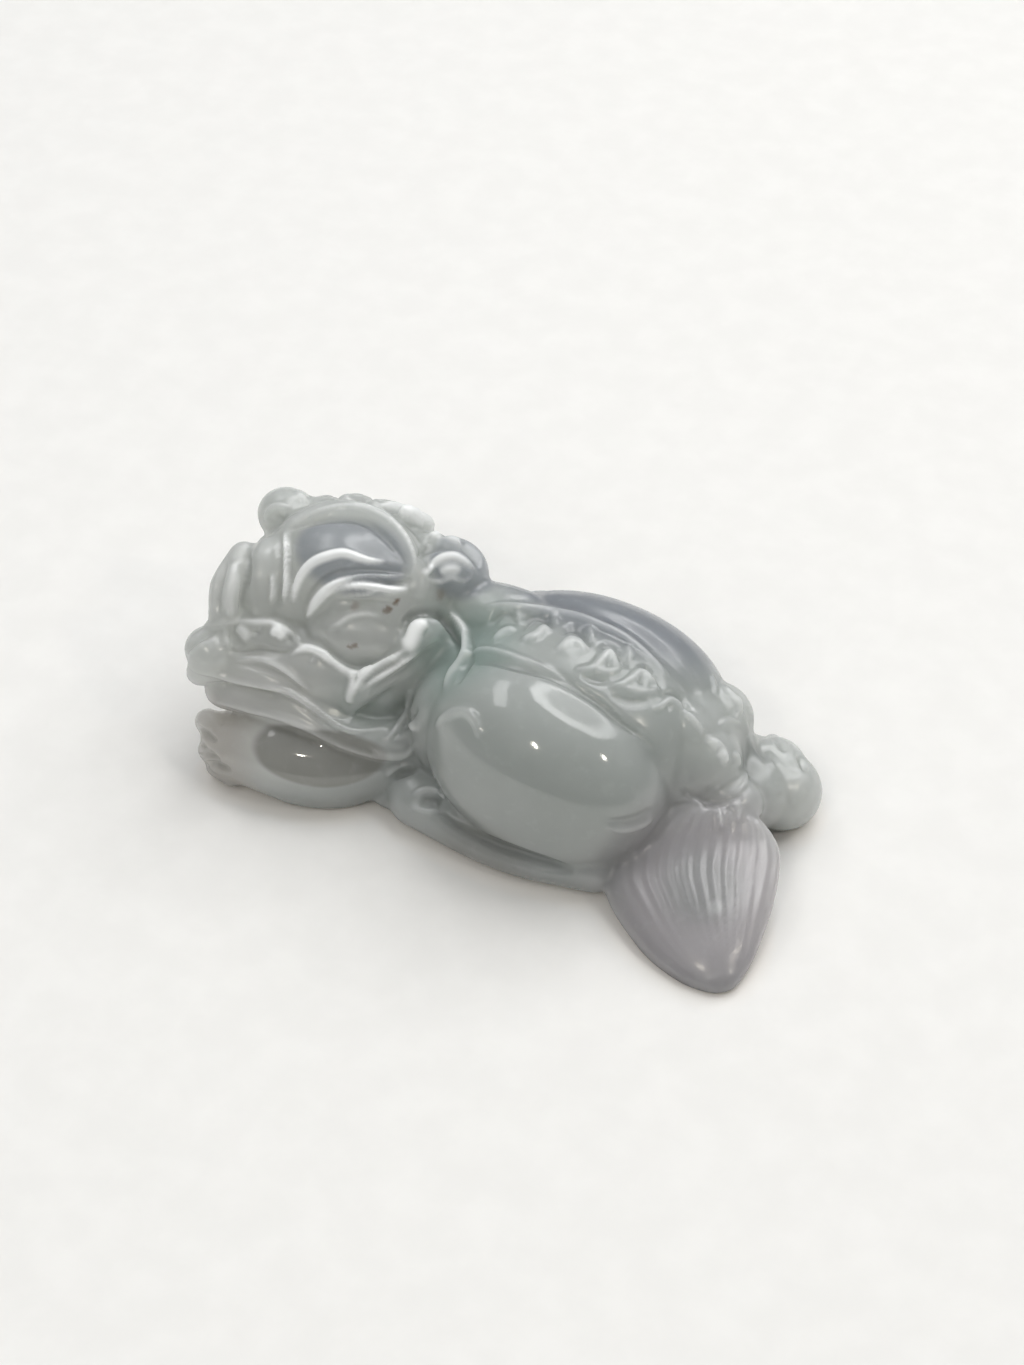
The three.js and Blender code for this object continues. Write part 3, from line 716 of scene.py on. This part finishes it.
def rough_stone():
    """All the forms in one mesh, still cutting through each other."""
    stone = bmesh.new()
    for form in BODY_FORMS + HEAD_FORMS + (ELBOW, NEAR_EAR, FAR_EAR):
        egg(stone, **form)
    for bar in (
        UPPER_LIP, LIP_EDGE, LOWER_JAW, FOREHEAD_COLUMN, FAR_BROW, HAIR_BAND, CHEEK_LOCK,
        FORELEG, HIND_FOOT, FAR_FORELEG, FAR_HIND_LEG,
    ):
        limb(stone, **bar)
    for paw in PAWS:
        toes(stone, **paw)
    for across in np.linspace(-MANE_SPREAD, MANE_SPREAD, MANE_LOCKS):
        limb(stone, mane_line(across), MANE_RADII)
    brush(stone)
    bmesh.ops.recalc_face_normals(stone, faces=stone.faces)
    mesh = bpy.data.meshes.new("pixiu")
    stone.to_mesh(mesh)
    stone.free()
    return mesh


def softened(mesh, rounds, grain=None):
    """The mesh with its creases softened, after one skin of this grain, if any, covers its forms."""
    rough = bpy.data.objects.new("rough", mesh)
    bpy.context.scene.collection.objects.link(rough)
    if grain:
        skin = rough.modifiers.new("skin", "REMESH")
        skin.mode = "VOXEL"
        skin.voxel_size = grain
        skin.use_smooth_shade = True
    soften = rough.modifiers.new("soften", "SMOOTH")
    soften.factor = SOFTENING
    soften.iterations = rounds
    made = bpy.data.meshes.new_from_object(rough.evaluated_get(bpy.context.evaluated_depsgraph_get()))
    bpy.data.objects.remove(rough)
    return made


def coords_of(mesh):
    coords = np.zeros(len(mesh.vertices) * 3)
    mesh.vertices.foreach_get("co", coords)
    return coords.reshape(-1, 3)


def normals_of(mesh):
    normals = np.zeros(len(mesh.vertices) * 3)
    mesh.vertex_normals.foreach_get("vector", normals)
    return normals.reshape(-1, 3)


def move_to(mesh, coords):
    mesh.vertices.foreach_set("co", coords.astype(np.float32).ravel())
    mesh.update()


def spread(mesh, values, rounds):
    """The values of the points, each round blended with those of their neighbours."""
    ends = np.zeros(len(mesh.edges) * 2, dtype=np.int64)
    mesh.edges.foreach_get("vertices", ends)
    first, last = ends.reshape(-1, 2).T
    count = len(values)
    crowd = np.bincount(first, minlength=count) + np.bincount(last, minlength=count)
    for _ in range(rounds):
        around = np.bincount(first, values[last], count) + np.bincount(last, values[first], count)
        values = (values + around / crowd) / 2
    return values


def ground_flat(mesh):
    """Cuts off what lies below the ground and closes the cut."""
    stone = bmesh.new()
    stone.from_mesh(mesh)
    everything = stone.verts[:] + stone.edges[:] + stone.faces[:]
    cut = bmesh.ops.bisect_plane(
        stone, geom=everything, dist=1e-4, plane_co=(0, 0, 0), plane_no=(0, 0, 1), clear_inner=True,
    )["geom_cut"]
    rim = [e for e in cut if isinstance(e, bmesh.types.BMEdge) and e.is_boundary]
    bmesh.ops.triangle_fill(stone, edges=rim, use_beauty=True)
    bmesh.ops.recalc_face_normals(stone, faces=stone.faces)
    stone.to_mesh(mesh)
    stone.free()


# Carving strokes

class Viewer:
    """Someone looking at the stone, who sees a point as millimetres right and up of LOOK_AT."""

    def __init__(self, side, height):
        self.back = np.array(towards(side, height))
        self.right = np.array(rightward(side))
        self.up = np.cross(self.back, self.right)

    def place(self, coords):
        offset = coords - np.array(LOOK_AT)
        nearness = VIEW_DISTANCE / (VIEW_DISTANCE - offset @ self.back)
        return np.stack([offset @ self.right * nearness, offset @ self.up * nearness], axis=1)

    def rays_from(self, coords):
        rays = np.array(LOOK_AT) + self.back * VIEW_DISTANCE - coords
        return rays / np.linalg.norm(rays, axis=1)[:, None]


class Carver:
    """Raises and sinks the surface along strokes drawn in what one viewer sees."""

    def __init__(self, mesh, viewer):
        self.mesh = mesh
        self.coords = coords_of(mesh)
        self.normals = normals_of(mesh)
        self.places = viewer.place(self.coords)
        rays = viewer.rays_from(self.coords)
        facing = np.einsum("ij,ij->i", self.normals, rays)
        tree = BVHTree.FromPolygons(
            [Vector(c) for c in self.coords], [p.vertices[:] for p in mesh.polygons],
        )
        self.reach = np.clip(facing / EDGE_ON, 0, 1)
        for i in np.nonzero(facing > 0)[0]:
            start = Vector(self.coords[i] + self.normals[i] * SIGHT_LIFT + rays[i] * SIGHT_START)
            if tree.ray_cast(start, Vector(rays[i]), SIGHT_LENGTH)[0] is not None:
                self.reach[i] = 0
        self.height = np.zeros(len(self.coords))

    def stroke(self, path, width, height, pointed=False, fade=END_FADE):
        """A ridge, or with a negative height a groove, that thins and fades out at both ends."""
        line = smooth_line([(x, y, 0) for x, y in path], STROKE_POINTS)[:, :2]
        low = line.min(axis=0) - width
        high = line.max(axis=0) + width
        near = np.nonzero(
            (self.reach > 0) & (self.places > low).all(axis=1) & (self.places < high).all(axis=1)
        )[0]
        spots = self.places[near]
        best = np.full(len(near), 1e9)
        along = np.zeros(len(near))
        for i in range(len(line) - 1):
            step = line[i + 1] - line[i]
            share = np.clip((spots - line[i]) @ step / (step @ step), 0, 1)
            gap = np.linalg.norm(spots - line[i] - share[:, None] * step, axis=1)
            closer = gap < best
            best[closer] = gap[closer]
            along[closer] = (i + share[closer]) / (len(line) - 1)
        swell = 1 - THINNING * (1 - np.sin(np.pi * along))
        inside = np.clip(best / (width * swell), 0, 1)
        section = (1 - inside) ** POINTED_SECTION if pointed else (1 - inside ** 2) ** 2
        taper = np.clip(np.minimum(along, 1 - along) / fade, 0, 1)
        self.height[near] += height * section * np.sqrt(taper)

    def apply(self):
        """Moves the surface along its normals by what the strokes add up to, and tells how far."""
        move = self.height * self.reach
        self.coords += self.normals * move[:, None]
        move_to(self.mesh, self.coords)
        self.normals = normals_of(self.mesh)
        self.height[:] = 0
        return move


def carve_far_side(mesh):
    """A few plain strokes behind, on the locks of the mane and on the far half of the face."""
    viewer = Viewer(*BACK_VIEW)
    carver = Carver(mesh, viewer)
    for stroke in FAR_STROKES:
        carver.stroke(**stroke)
    for across in np.linspace(-MANE_SPREAD, MANE_SPREAD, MANE_LOCKS):
        path = viewer.place(np.array(mane_line(across)))
        carver.stroke(path, STRAND_WIDTH, -STRAND_DEPTH)
    move = carver.apply()
    carver = Carver(mesh, Viewer(*FACE_VIEW))
    for stroke in FAR_FACE_STROKES:
        carver.stroke(**stroke)
    return move + carver.apply()


def carve(mesh):
    """Carves the stone on all sides; tells how far each point was raised and sunk."""
    move = carve_far_side(mesh)
    raised = np.maximum(move, 0)
    sunk = -np.minimum(move, 0)
    viewer = Viewer(*VIEW)
    carver = Carver(mesh, viewer)
    for strokes in (
        HAIR_STROKES, BROW_STROKES, EYE_STROKES, LOCK_STROKES, FACE_STROKES, NOSE_STROKES,
        MOUTH_STROKES, EAR_STROKES, BODY_STROKES, SPINE_STROKES, FOOT_STROKES, TAIL_STROKES,
    ):
        for stroke in strokes:
            carver.stroke(**stroke)
        move = carver.apply()
        raised += np.maximum(move, 0)
        sunk -= np.minimum(move, 0)
    for sideways in np.linspace(-HAIR_SPREAD, HAIR_SPREAD, HAIR_GROOVES):
        path = viewer.place(np.array(hair_line(sideways)))
        depth = HAIR_DEPTH * (1 - HAIR_FADE * (1 - sideways))
        carver.stroke(path, HAIR_WIDTH, -depth, fade=HAIR_END_FADE)
    sunk -= np.minimum(carver.apply(), 0)
    return raised, sunk


# Shader sums

class Sum:
    """A value in a shader; sums of such values build its nodes."""

    def __init__(self, owner, socket):
        self.owner = owner
        self.socket = socket

    def into(self, node, name):
        """Feeds this value to one of a node's inputs."""
        self.owner.node_tree.links.new(self.socket, node.inputs[name])

    def node(self, kind, inputs=None, output=0, **settings):
        """Any other node of the same shader."""
        made = self.owner.node_tree.nodes.new(kind)
        for name, value in settings.items():
            setattr(made, name, value)
        for name, value in (inputs or {}).items():
            if isinstance(value, Sum):
                value.into(made, name)
            else:
                made.inputs[name].default_value = value
        return Sum(self.owner, made.outputs[output])

    def math(self, operation, *others):
        values = {i: v for i, v in enumerate((self, *others))}
        return self.node("ShaderNodeMath", values, operation=operation)

    def __add__(self, other):
        return self.math("ADD", other)

    def __radd__(self, other):
        return self.math("ADD", other)

    def __sub__(self, other):
        return self.math("SUBTRACT", other)

    def __rsub__(self, other):
        return (self * -1) + other

    def __mul__(self, other):
        return self.math("MULTIPLY", other)

    def __rmul__(self, other):
        return self.math("MULTIPLY", other)

    def clamped(self):
        return self.math("MAXIMUM", 0.0).math("MINIMUM", 1.0)

    def ramp(self, low, high):
        """0 below low, 1 above high, and smooth between them."""
        return self.node(
            "ShaderNodeMapRange", {"Value": self, "From Min": low, "From Max": high},
            interpolation_type="SMOOTHSTEP",
        )

    def mixed(self, first, second):
        """The first colour where this value is 0, the second where it is 1."""
        return self.node(
            "ShaderNodeMix", {0: self, 6: first, 7: second}, output=2, data_type="RGBA",
        )

    def clouds(self, size, detail=3.0, distortion=0.0):
        """Soft noise whose lumps are about this many millimetres across."""
        return self.node(
            "ShaderNodeTexNoise",
            {"Vector": self, "Scale": 1 / (size * MM), "Detail": detail, "Distortion": distortion},
        )

    def spot(self, place, size, edge):
        """1 inside an egg round a place of the layout, fading to 0 at its half sizes."""
        half = tuple(c * MM for c in size)
        offset = self.node("ShaderNodeVectorMath", {0: self, 1: row_place(place)}, operation="SUBTRACT")
        shares = offset.node("ShaderNodeVectorMath", {0: offset, 1: half}, operation="DIVIDE")
        reach = shares.node("ShaderNodeVectorMath", {0: shares}, 1, operation="LENGTH")
        return 1 - reach.ramp(edge, 1.0)


def row_place(spot):
    """A place of the layout in the row's frame."""
    return tuple((Vector(spot) - LAYOUT_MIDDLE) * MM)


def new_material(name):
    """A new material, its shader, and the place of each point on the piece."""
    material = bpy.data.materials.new(name)
    material.use_nodes = True
    shader = material.node_tree.nodes["Principled BSDF"]
    place = Sum(material, None).node("ShaderNodeTexCoord", output=3)
    return material, shader, place


# The jade: cloudy grey-green, paler at the head partly as its tone and partly as painted light through the
# thin stone, lavender in the tail, frosted where it is carved, with painted shade in its grooves, on the
# forearm and on the near hind foot

JADE_BODY = (0.370, 0.395, 0.382, 1)
JADE_PALE = (0.440, 0.460, 0.450, 1)
JADE_PALE_AND_PAINTED_GLOW = (0.560, 0.565, 0.548, 1)
JADE_GREEN = (0.270, 0.350, 0.322, 1)
JADE_LAVENDER = (0.395, 0.372, 0.388, 1)
JADE_BLUE = (0.213, 0.231, 0.253, 1)
# dark grey used as painted shade and painted reflection of the dim room
JADE_PAINTED_SHADE_AND_REFLECTION = (0.270, 0.270, 0.250, 1)
JADE_WARM = (0.430, 0.405, 0.372, 1)
JADE_DOME = (0.275, 0.295, 0.315, 1)
JADE_FROST = (0.900, 0.920, 0.915, 1)
JADE_STAIN = (0.140, 0.075, 0.030, 1)
JADE_DARK_AND_PAINTED_GROOVE_SHADE = (0.230, 0.245, 0.240, 1)

# Each tint with the middle and half sizes of its egg, where it starts to fade, and its share
TINTS = (
    # paler head: partly its own tone, partly painted light for the glow through the thin carving
    (JADE_PALE_AND_PAINTED_GLOW, (-13.5, 1, 8.5), (12, 12, 12), 0.55, 0.5),
    # painted light on the jaw, lifting its shaded band
    (JADE_PALE_AND_PAINTED_GLOW, (-15, -4.5, 6), (6, 6, 6), 0.4, 0.85),
    # painted light lifting the shaded tail root
    (JADE_PALE_AND_PAINTED_GLOW, (14.5, 4, 5.5), (8, 8, 8), 0.4, 0.2),
    (JADE_GREEN, (-3.2, 0.9, 11), (5.6, 5.6, 5.6), 0.2, 0.8),
    (JADE_GREEN, (-9.5, -1.5, 7), (4.5, 4.5, 4.5), 0.2, 0.35),
    (JADE_LAVENDER, (16.5, -5, 2), (10, 10, 10), 0.4, 0.85),
    (JADE_DARK_AND_PAINTED_GROOVE_SHADE, (15.7, -5, 4), (4, 4, 4), 0.3, 0.6),
    (JADE_BLUE, (3.5, 9.5, 11.5), (12, 7, 7), 0.5, 1),
    (JADE_DOME, (-12, 2.3, 16.2), (4.6, 3.2, 3.2), 0.75, 0.9),
    (JADE_DOME, (-5.8, 6.2, 14), (2.8, 2.8, 2.8), 0.7, 0.9),
    (JADE_DARK_AND_PAINTED_GROOVE_SHADE, (15.3, 4.8, 6.2), (2.6, 2.6, 2.6), 0.2, 0.5),
    # painted light lifting the shaded far hind paw
    (JADE_PALE_AND_PAINTED_GLOW, (18.8, 4.8, 3.4), (2.6, 2.6, 2.6), 0.3, 0.3),
    (JADE_FROST, (17.1, -5.9, 3.4), (0.75, 0.75, 0.75), 0.2, 0.2),
    (JADE_WARM, (-19, -5.5, 2), (6, 6, 6), 0.4, 0.8),
    # painted shade and painted dim reflection on the forearm under the jaw
    (JADE_PAINTED_SHADE_AND_REFLECTION, (-10.6, -6, 4.9), (5.3, 3.4, 1.95), 0.85, 0.9),
    # painted shade on the near hind foot, low by the ground
    (JADE_PAINTED_SHADE_AND_REFLECTION, (1, -6.8, 1), (5, 5, 5), 0.3, 0.6),
)

# Places of higher polish, and small brown stains with shaken edges
POLISHED = (
    ((3.2, -5.4, 7.6), (9, 6.6, 9), 0.8),
    ((-10.6, -6, 4.9), (5.3, 3.4, 1.95), 0.85),
)
STAIN_SHAKE = 0.5 * MM
STAINS = (
    ((-8.5, 1.4, 13.7), 0.34, 0.75),
    ((-8.8, 0.9, 13.4), 0.32, 0.65),
    ((-9, 0.7, 13.3), 0.28, 0.5),
    ((-10.5, -1.6, 11.5), 0.3, 0.6),
    ((-10.2, -1.5, 11.6), 0.3, 0.6),
    ((-10.8, 0, 13.6), 0.5, 0.3),
    ((-5.4, 4.5, 11.7), 0.5, 0.35),
    ((-6.5, 3.8, 13), 0.6, 0.3),
)

# How light passes through the stone
JADE_BENDING = 1.66
GLOW_REACH = 12.0 * MM
GLOW_COLOUR = (1, 1, 0.95)
CLEARNESS = 0.2

# Noises, each with its size in millimetres, its detail and at times its distortion; the ramps say
# between which values a noise or a mark takes effect, and the shares how strongly it then shows
CLOUDS = (7, 3, 0.6)
CLOUD_RAMP = (0.35, 0.7)
CLOUD_SHARE = 0.45
FLECKS = (0.9, 4)
FLECK_RAMP = (0.55, 0.75)
FLECK_SHARE = 0.04
SUNK_RAMP = (0.08, 0.45)
SUNK_SHARE = 0.35
SATIN = 0.24
POLISH = 0.16
UNEVEN_SIZE = 1.6
UNEVEN_RAMP = (0.4, 0.7)
UNEVENNESS = 0.02
FROST_SATIN = 0.4
FROST_RAMP = (0.04, 0.30)
FROST_SHARE = 0.2
FROSTED_HEAD = ((-11.5, 2, 13.5), (9, 9, 9), 0.6)
FROSTED_HEAD_SHARE = 0.7
WAVES = (2.4, 2)
WAVINESS = 0.15
WAVE_DEPTH = 0.2 * MM


def jade_colour(place):
    """Pale clouds, the tints, some of them painted light and shade, painted shade in the grooves, and the
    stains.
    """
    clouds = place.clouds(*CLOUDS).ramp(*CLOUD_RAMP)
    flecks = place.clouds(*FLECKS).ramp(*FLECK_RAMP)
    sunk = place.node("ShaderNodeAttribute", output=2, attribute_name="sunk")
    colour = (clouds * CLOUD_SHARE).mixed(JADE_BODY, JADE_PALE)
    for tint, spot, size, edge, share in TINTS:
        colour = (place.spot(spot, size, edge) * share).mixed(colour, tint)
    colour = (flecks * FLECK_SHARE).mixed(colour, JADE_FROST)
    # painted shade: the deeper a groove is sunk, the darker it is painted
    colour = (sunk.ramp(*SUNK_RAMP) * SUNK_SHARE).mixed(colour, JADE_DARK_AND_PAINTED_GROOVE_SHADE)
    tremble = place.node("ShaderNodeTexNoise", {"Vector": place, "Scale": 1 / STAIN_SHAKE}, 1)
    shaken = place.node(
        "ShaderNodeVectorMath", {0: tremble, 1: (STAIN_SHAKE,) * 3, 2: place}, operation="MULTIPLY_ADD",
    )
    for spot, size, share in STAINS:
        middle = Vector(spot) + Vector((1, 1, 1)) * STAIN_SHAKE / MM / 2
        colour = (shaken.spot(middle, (size,) * 3, 0.1) * share).mixed(colour, JADE_STAIN)
    return colour


def jade_roughness(place):
    """Satin all over, and bright where it is polished."""
    polish = 0.0
    for spot, size, edge in POLISHED:
        polish = place.spot(spot, size, edge) + polish
    unevenness = place.clouds(UNEVEN_SIZE).ramp(*UNEVEN_RAMP) * UNEVENNESS
    return SATIN - polish.clamped() * POLISH + unevenness


def jade():
    material, shader, place = new_material("jade")
    shader.inputs["Subsurface Weight"].default_value = 1.0
    shader.inputs["Subsurface Radius"].default_value = GLOW_COLOUR
    shader.inputs["Subsurface Scale"].default_value = GLOW_REACH
    shader.inputs["Transmission Weight"].default_value = CLEARNESS
    shader.inputs["IOR"].default_value = JADE_BENDING
    jade_colour(place).into(shader, "Base Color")
    jade_roughness(place).into(shader, "Roughness")
    waves = {"Height": place.clouds(*WAVES), "Strength": WAVINESS, "Distance": WAVE_DEPTH}
    place.node("ShaderNodeBump", waves).into(shader, "Normal")
    raised = place.node("ShaderNodeAttribute", output=2, attribute_name="raised")
    share = raised.ramp(*FROST_RAMP) * (FROST_SHARE + place.spot(*FROSTED_HEAD) * FROSTED_HEAD_SHARE)
    frosted = {"Base Color": JADE_FROST, "Roughness": FROST_SATIN, "IOR": JADE_BENDING}
    frost = place.node("ShaderNodeBsdfPrincipled", frosted)
    surface = place.node("ShaderNodeMixShader", {0: share, 1: Sum(material, shader.outputs[0]), 2: frost})
    surface.into(material.node_tree.nodes["Material Output"], "Surface")
    return material


# The paper: faint fibres, and a painted warm contact shade where it nearly touches the stone, standing in
# for its shadow and the light through the stone

PAPER_DULL = (0.765, 0.76, 0.742, 1)
PAPER_BRIGHT = (0.795, 0.79, 0.772, 1)
PAPER_PAINTED_CONTACT_SHADE = (0.86, 0.78, 0.69, 1)
FIBRES = (3.0, 6.0)
FIBRE_RAMP = (0.3, 0.8)
FIBRE_STRENGTH = 0.15
FIBRE_DEPTH = 0.2 * MM
TOUCHING = 1.5 * MM
TOUCHING_RAMP = (0.1, 0.5)
TOUCHING_SHARE = 0.35
PAPER_ROUGHNESS = 0.9
PAPER_SHINE = 0.1


def paper():
    material, shader, place = new_material("paper")
    fibres = place.clouds(*FIBRES)
    nearness = 1 - place.node("ShaderNodeAmbientOcclusion", {"Distance": TOUCHING}, 1, samples=3)
    colour = fibres.ramp(*FIBRE_RAMP).mixed(PAPER_DULL, PAPER_BRIGHT)
    # painted shade, warm, on the paper close round the stone
    colour = (nearness.ramp(*TOUCHING_RAMP) * TOUCHING_SHARE).mixed(colour, PAPER_PAINTED_CONTACT_SHADE)
    colour.into(shader, "Base Color")
    shader.inputs["Roughness"].default_value = PAPER_ROUGHNESS
    shader.inputs["Specular IOR Level"].default_value = PAPER_SHINE
    relief = {"Height": fibres, "Strength": FIBRE_STRENGTH, "Distance": FIBRE_DEPTH}
    place.node("ShaderNodeBump", relief).into(shader, "Normal")
    return material


# The finished stone, in the row's frame

def pixiu():
    """The stone: melted into one skin, carved, polished and ground flat below."""
    mesh = softened(rough_stone(), SMOOTHING, GRAIN)
    for name, amount in zip(("raised", "sunk"), carve(mesh)):
        values = spread(mesh, amount, MARK_SPREAD).astype(np.float32)
        mesh.attributes.new(name, "FLOAT", "POINT").data.foreach_set("value", values)
    mesh = softened(mesh, POLISHING)
    ground_flat(mesh)
    move_to(mesh, (coords_of(mesh) - np.array(LAYOUT_MIDDLE)) * MM)
    for face in mesh.polygons:
        face.use_smooth = True
    mesh.materials.append(jade())
    stone = bpy.data.objects.new("pixiu_carving", mesh)
    bpy.context.scene.collection.objects.link(stone)
    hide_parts("pixiu")
    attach(stone, "root")


# Floor, lights and camera: directions in degrees, sizes and distances in metres

SHEET_REACH = 0.6
ROOM_COLOUR = (0.97, 0.985, 1.0, 1)
ROOM_DIM = 0.17
ROOM_BRIGHT = 0.59
WINDOW = (185, 55)
WINDOW_RAMP = (0.2, 1.0)
RING = dict(at=(155, 56), distance=0.45, outer=0.23, inner=0.14, glow=5.3)
RING_MIDDLE = 0.38
RING_INNER_FADE = (0.7, 1.1)
RING_OUTER_FADE = 0.88
RING_LEAN = 0.35
RING_LEAN_WIDTH = 1.6
FILL = dict(at=(-10, 50), distance=0.6, radius=0.25, glow=1.48, mirrored=False)
SLIT = dict(ends=((-133, 46), (-70, 60)), distance=0.45, width=0.085, glow=2.4)
BULB = dict(distance=0.5, radius=0.014, glow=80.0, colour=(1.0, 0.93, 0.80))
FRONT_BULB = (0, 48)
SIDE_BULB = (83, 45)


def sheet_of_paper():
    sheet = bmesh.new()
    bmesh.ops.create_grid(sheet, x_segments=1, y_segments=1, size=SHEET_REACH)
    mesh = bpy.data.meshes.new("paper")
    sheet.to_mesh(mesh)
    sheet.free()
    mesh.materials.append(paper())
    floor = bpy.data.objects.new("paper", mesh)
    bpy.context.scene.collection.objects.link(floor)


def ring_lamp(at, distance, outer, inner, glow):
    """A round softbox with a dim middle; the polished stone mirrors it as a pale ring."""
    middle = towards(*at) * distance
    disc = bmesh.new()
    bmesh.ops.create_circle(disc, cap_ends=True, segments=96, radius=outer)
    turn = towards(*at).to_track_quat("Z", "Y").to_matrix()
    bmesh.ops.rotate(disc, cent=(0, 0, 0), matrix=turn, verts=disc.verts)
    bmesh.ops.translate(disc, vec=middle, verts=disc.verts)
    mesh = bpy.data.meshes.new("ring lamp")
    disc.to_mesh(mesh)
    disc.free()
    material, shader, place = new_material("lamp glow")
    reach = place.node("ShaderNodeVectorMath", {0: place, 1: middle}, 1, operation="DISTANCE")
    rightwards = place.node("ShaderNodeSeparateXYZ", {0: place})
    ring = RING_MIDDLE + reach.ramp(*(inner * fade for fade in RING_INNER_FADE)) * (1 - RING_MIDDLE)
    rim = 1 - reach.ramp(outer * RING_OUTER_FADE, outer)
    lean = 1.0 - rightwards.ramp(0.0, outer * RING_LEAN_WIDTH) * RING_LEAN
    shader.inputs["Base Color"].default_value = (0, 0, 0, 1)
    shader.inputs["Emission Strength"].default_value = glow
    (ring * rim * lean).into(shader, "Emission Color")
    mesh.materials.append(material)
    lamp = bpy.data.objects.new("ring lamp", mesh)
    lamp.visible_camera = False
    bpy.context.scene.collection.objects.link(lamp)


def strip_lamp(name, ends, distance, width, glow):
    """A long narrow light between two directions."""
    first, last = (towards(*end) * distance for end in ends)
    data = bpy.data.lights.new(name, "AREA")
    data.shape = "RECTANGLE"
    data.size = width
    data.size_y = (last - first).length
    data.energy = glow * math.pi * data.size * data.size_y
    lamp = bpy.data.objects.new(name, data)
    middle = (first + last) / 2
    along = (last - first).normalized()
    back = (middle - along * middle.dot(along)).normalized()
    turn = Matrix((along.cross(back), along, back)).transposed()
    lamp.matrix_world = Matrix.Translation(middle) @ turn.to_4x4()
    bpy.context.scene.collection.objects.link(lamp)


def soft_lamp(name, at, distance, radius, glow, colour=(1.0, 1.0, 1.0), mirrored=True):
    """A round light, as bright at every point as its glow; the polish shows it only if mirrored."""
    data = bpy.data.lights.new(name, "AREA")
    data.shape = "DISK"
    data.size = 2 * radius
    data.energy = glow * math.pi * math.pi * radius ** 2
    data.color = colour
    lamp = bpy.data.objects.new(name, data)
    lamp.location = towards(*at) * distance
    lamp.rotation_euler = towards(*at).to_track_quat("Z", "Y").to_euler()
    lamp.visible_glossy = mirrored
    bpy.context.scene.collection.objects.link(lamp)


def room():
    """Pale behind the stone, dim on the viewer's side."""
    world = bpy.data.worlds.new("room")
    world.use_nodes = True
    sky = world.node_tree.nodes["Background"]
    sky.inputs["Color"].default_value = ROOM_COLOUR
    heading = Sum(world, None).node("ShaderNodeTexCoord", output=0)
    window = heading.node(
        "ShaderNodeVectorMath", {0: heading, 1: towards(*WINDOW)}, 1, operation="DOT_PRODUCT",
    )
    strength = ROOM_DIM + window.ramp(*WINDOW_RAMP) * (ROOM_BRIGHT - ROOM_DIM)
    strength.into(sky, "Strength")
    bpy.context.scene.world = world
    ring_lamp(**RING)
    soft_lamp("fill", **FILL)
    strip_lamp("slit", **SLIT)
    soft_lamp("front bulb", FRONT_BULB, **BULB)
    soft_lamp("side bulb", SIDE_BULB, **BULB)


def viewer_camera():
    data = bpy.data.cameras.new("viewer")
    data.sensor_fit = "VERTICAL"
    data.sensor_height = 36.0
    data.lens = VIEW_LENS
    data.clip_start = 0.01
    camera = bpy.data.objects.new("viewer", data)
    camera.location = (LOOK_AT + towards(*VIEW) * VIEW_DISTANCE - LAYOUT_MIDDLE) * MM
    camera.rotation_euler = towards(*VIEW).to_track_quat("Z", "Y").to_euler()
    bpy.context.scene.collection.objects.link(camera)
    bpy.context.scene.camera = camera


pixiu()
sheet_of_paper()
room()
viewer_camera()
bpy.context.scene.view_settings.view_transform = "Standard"
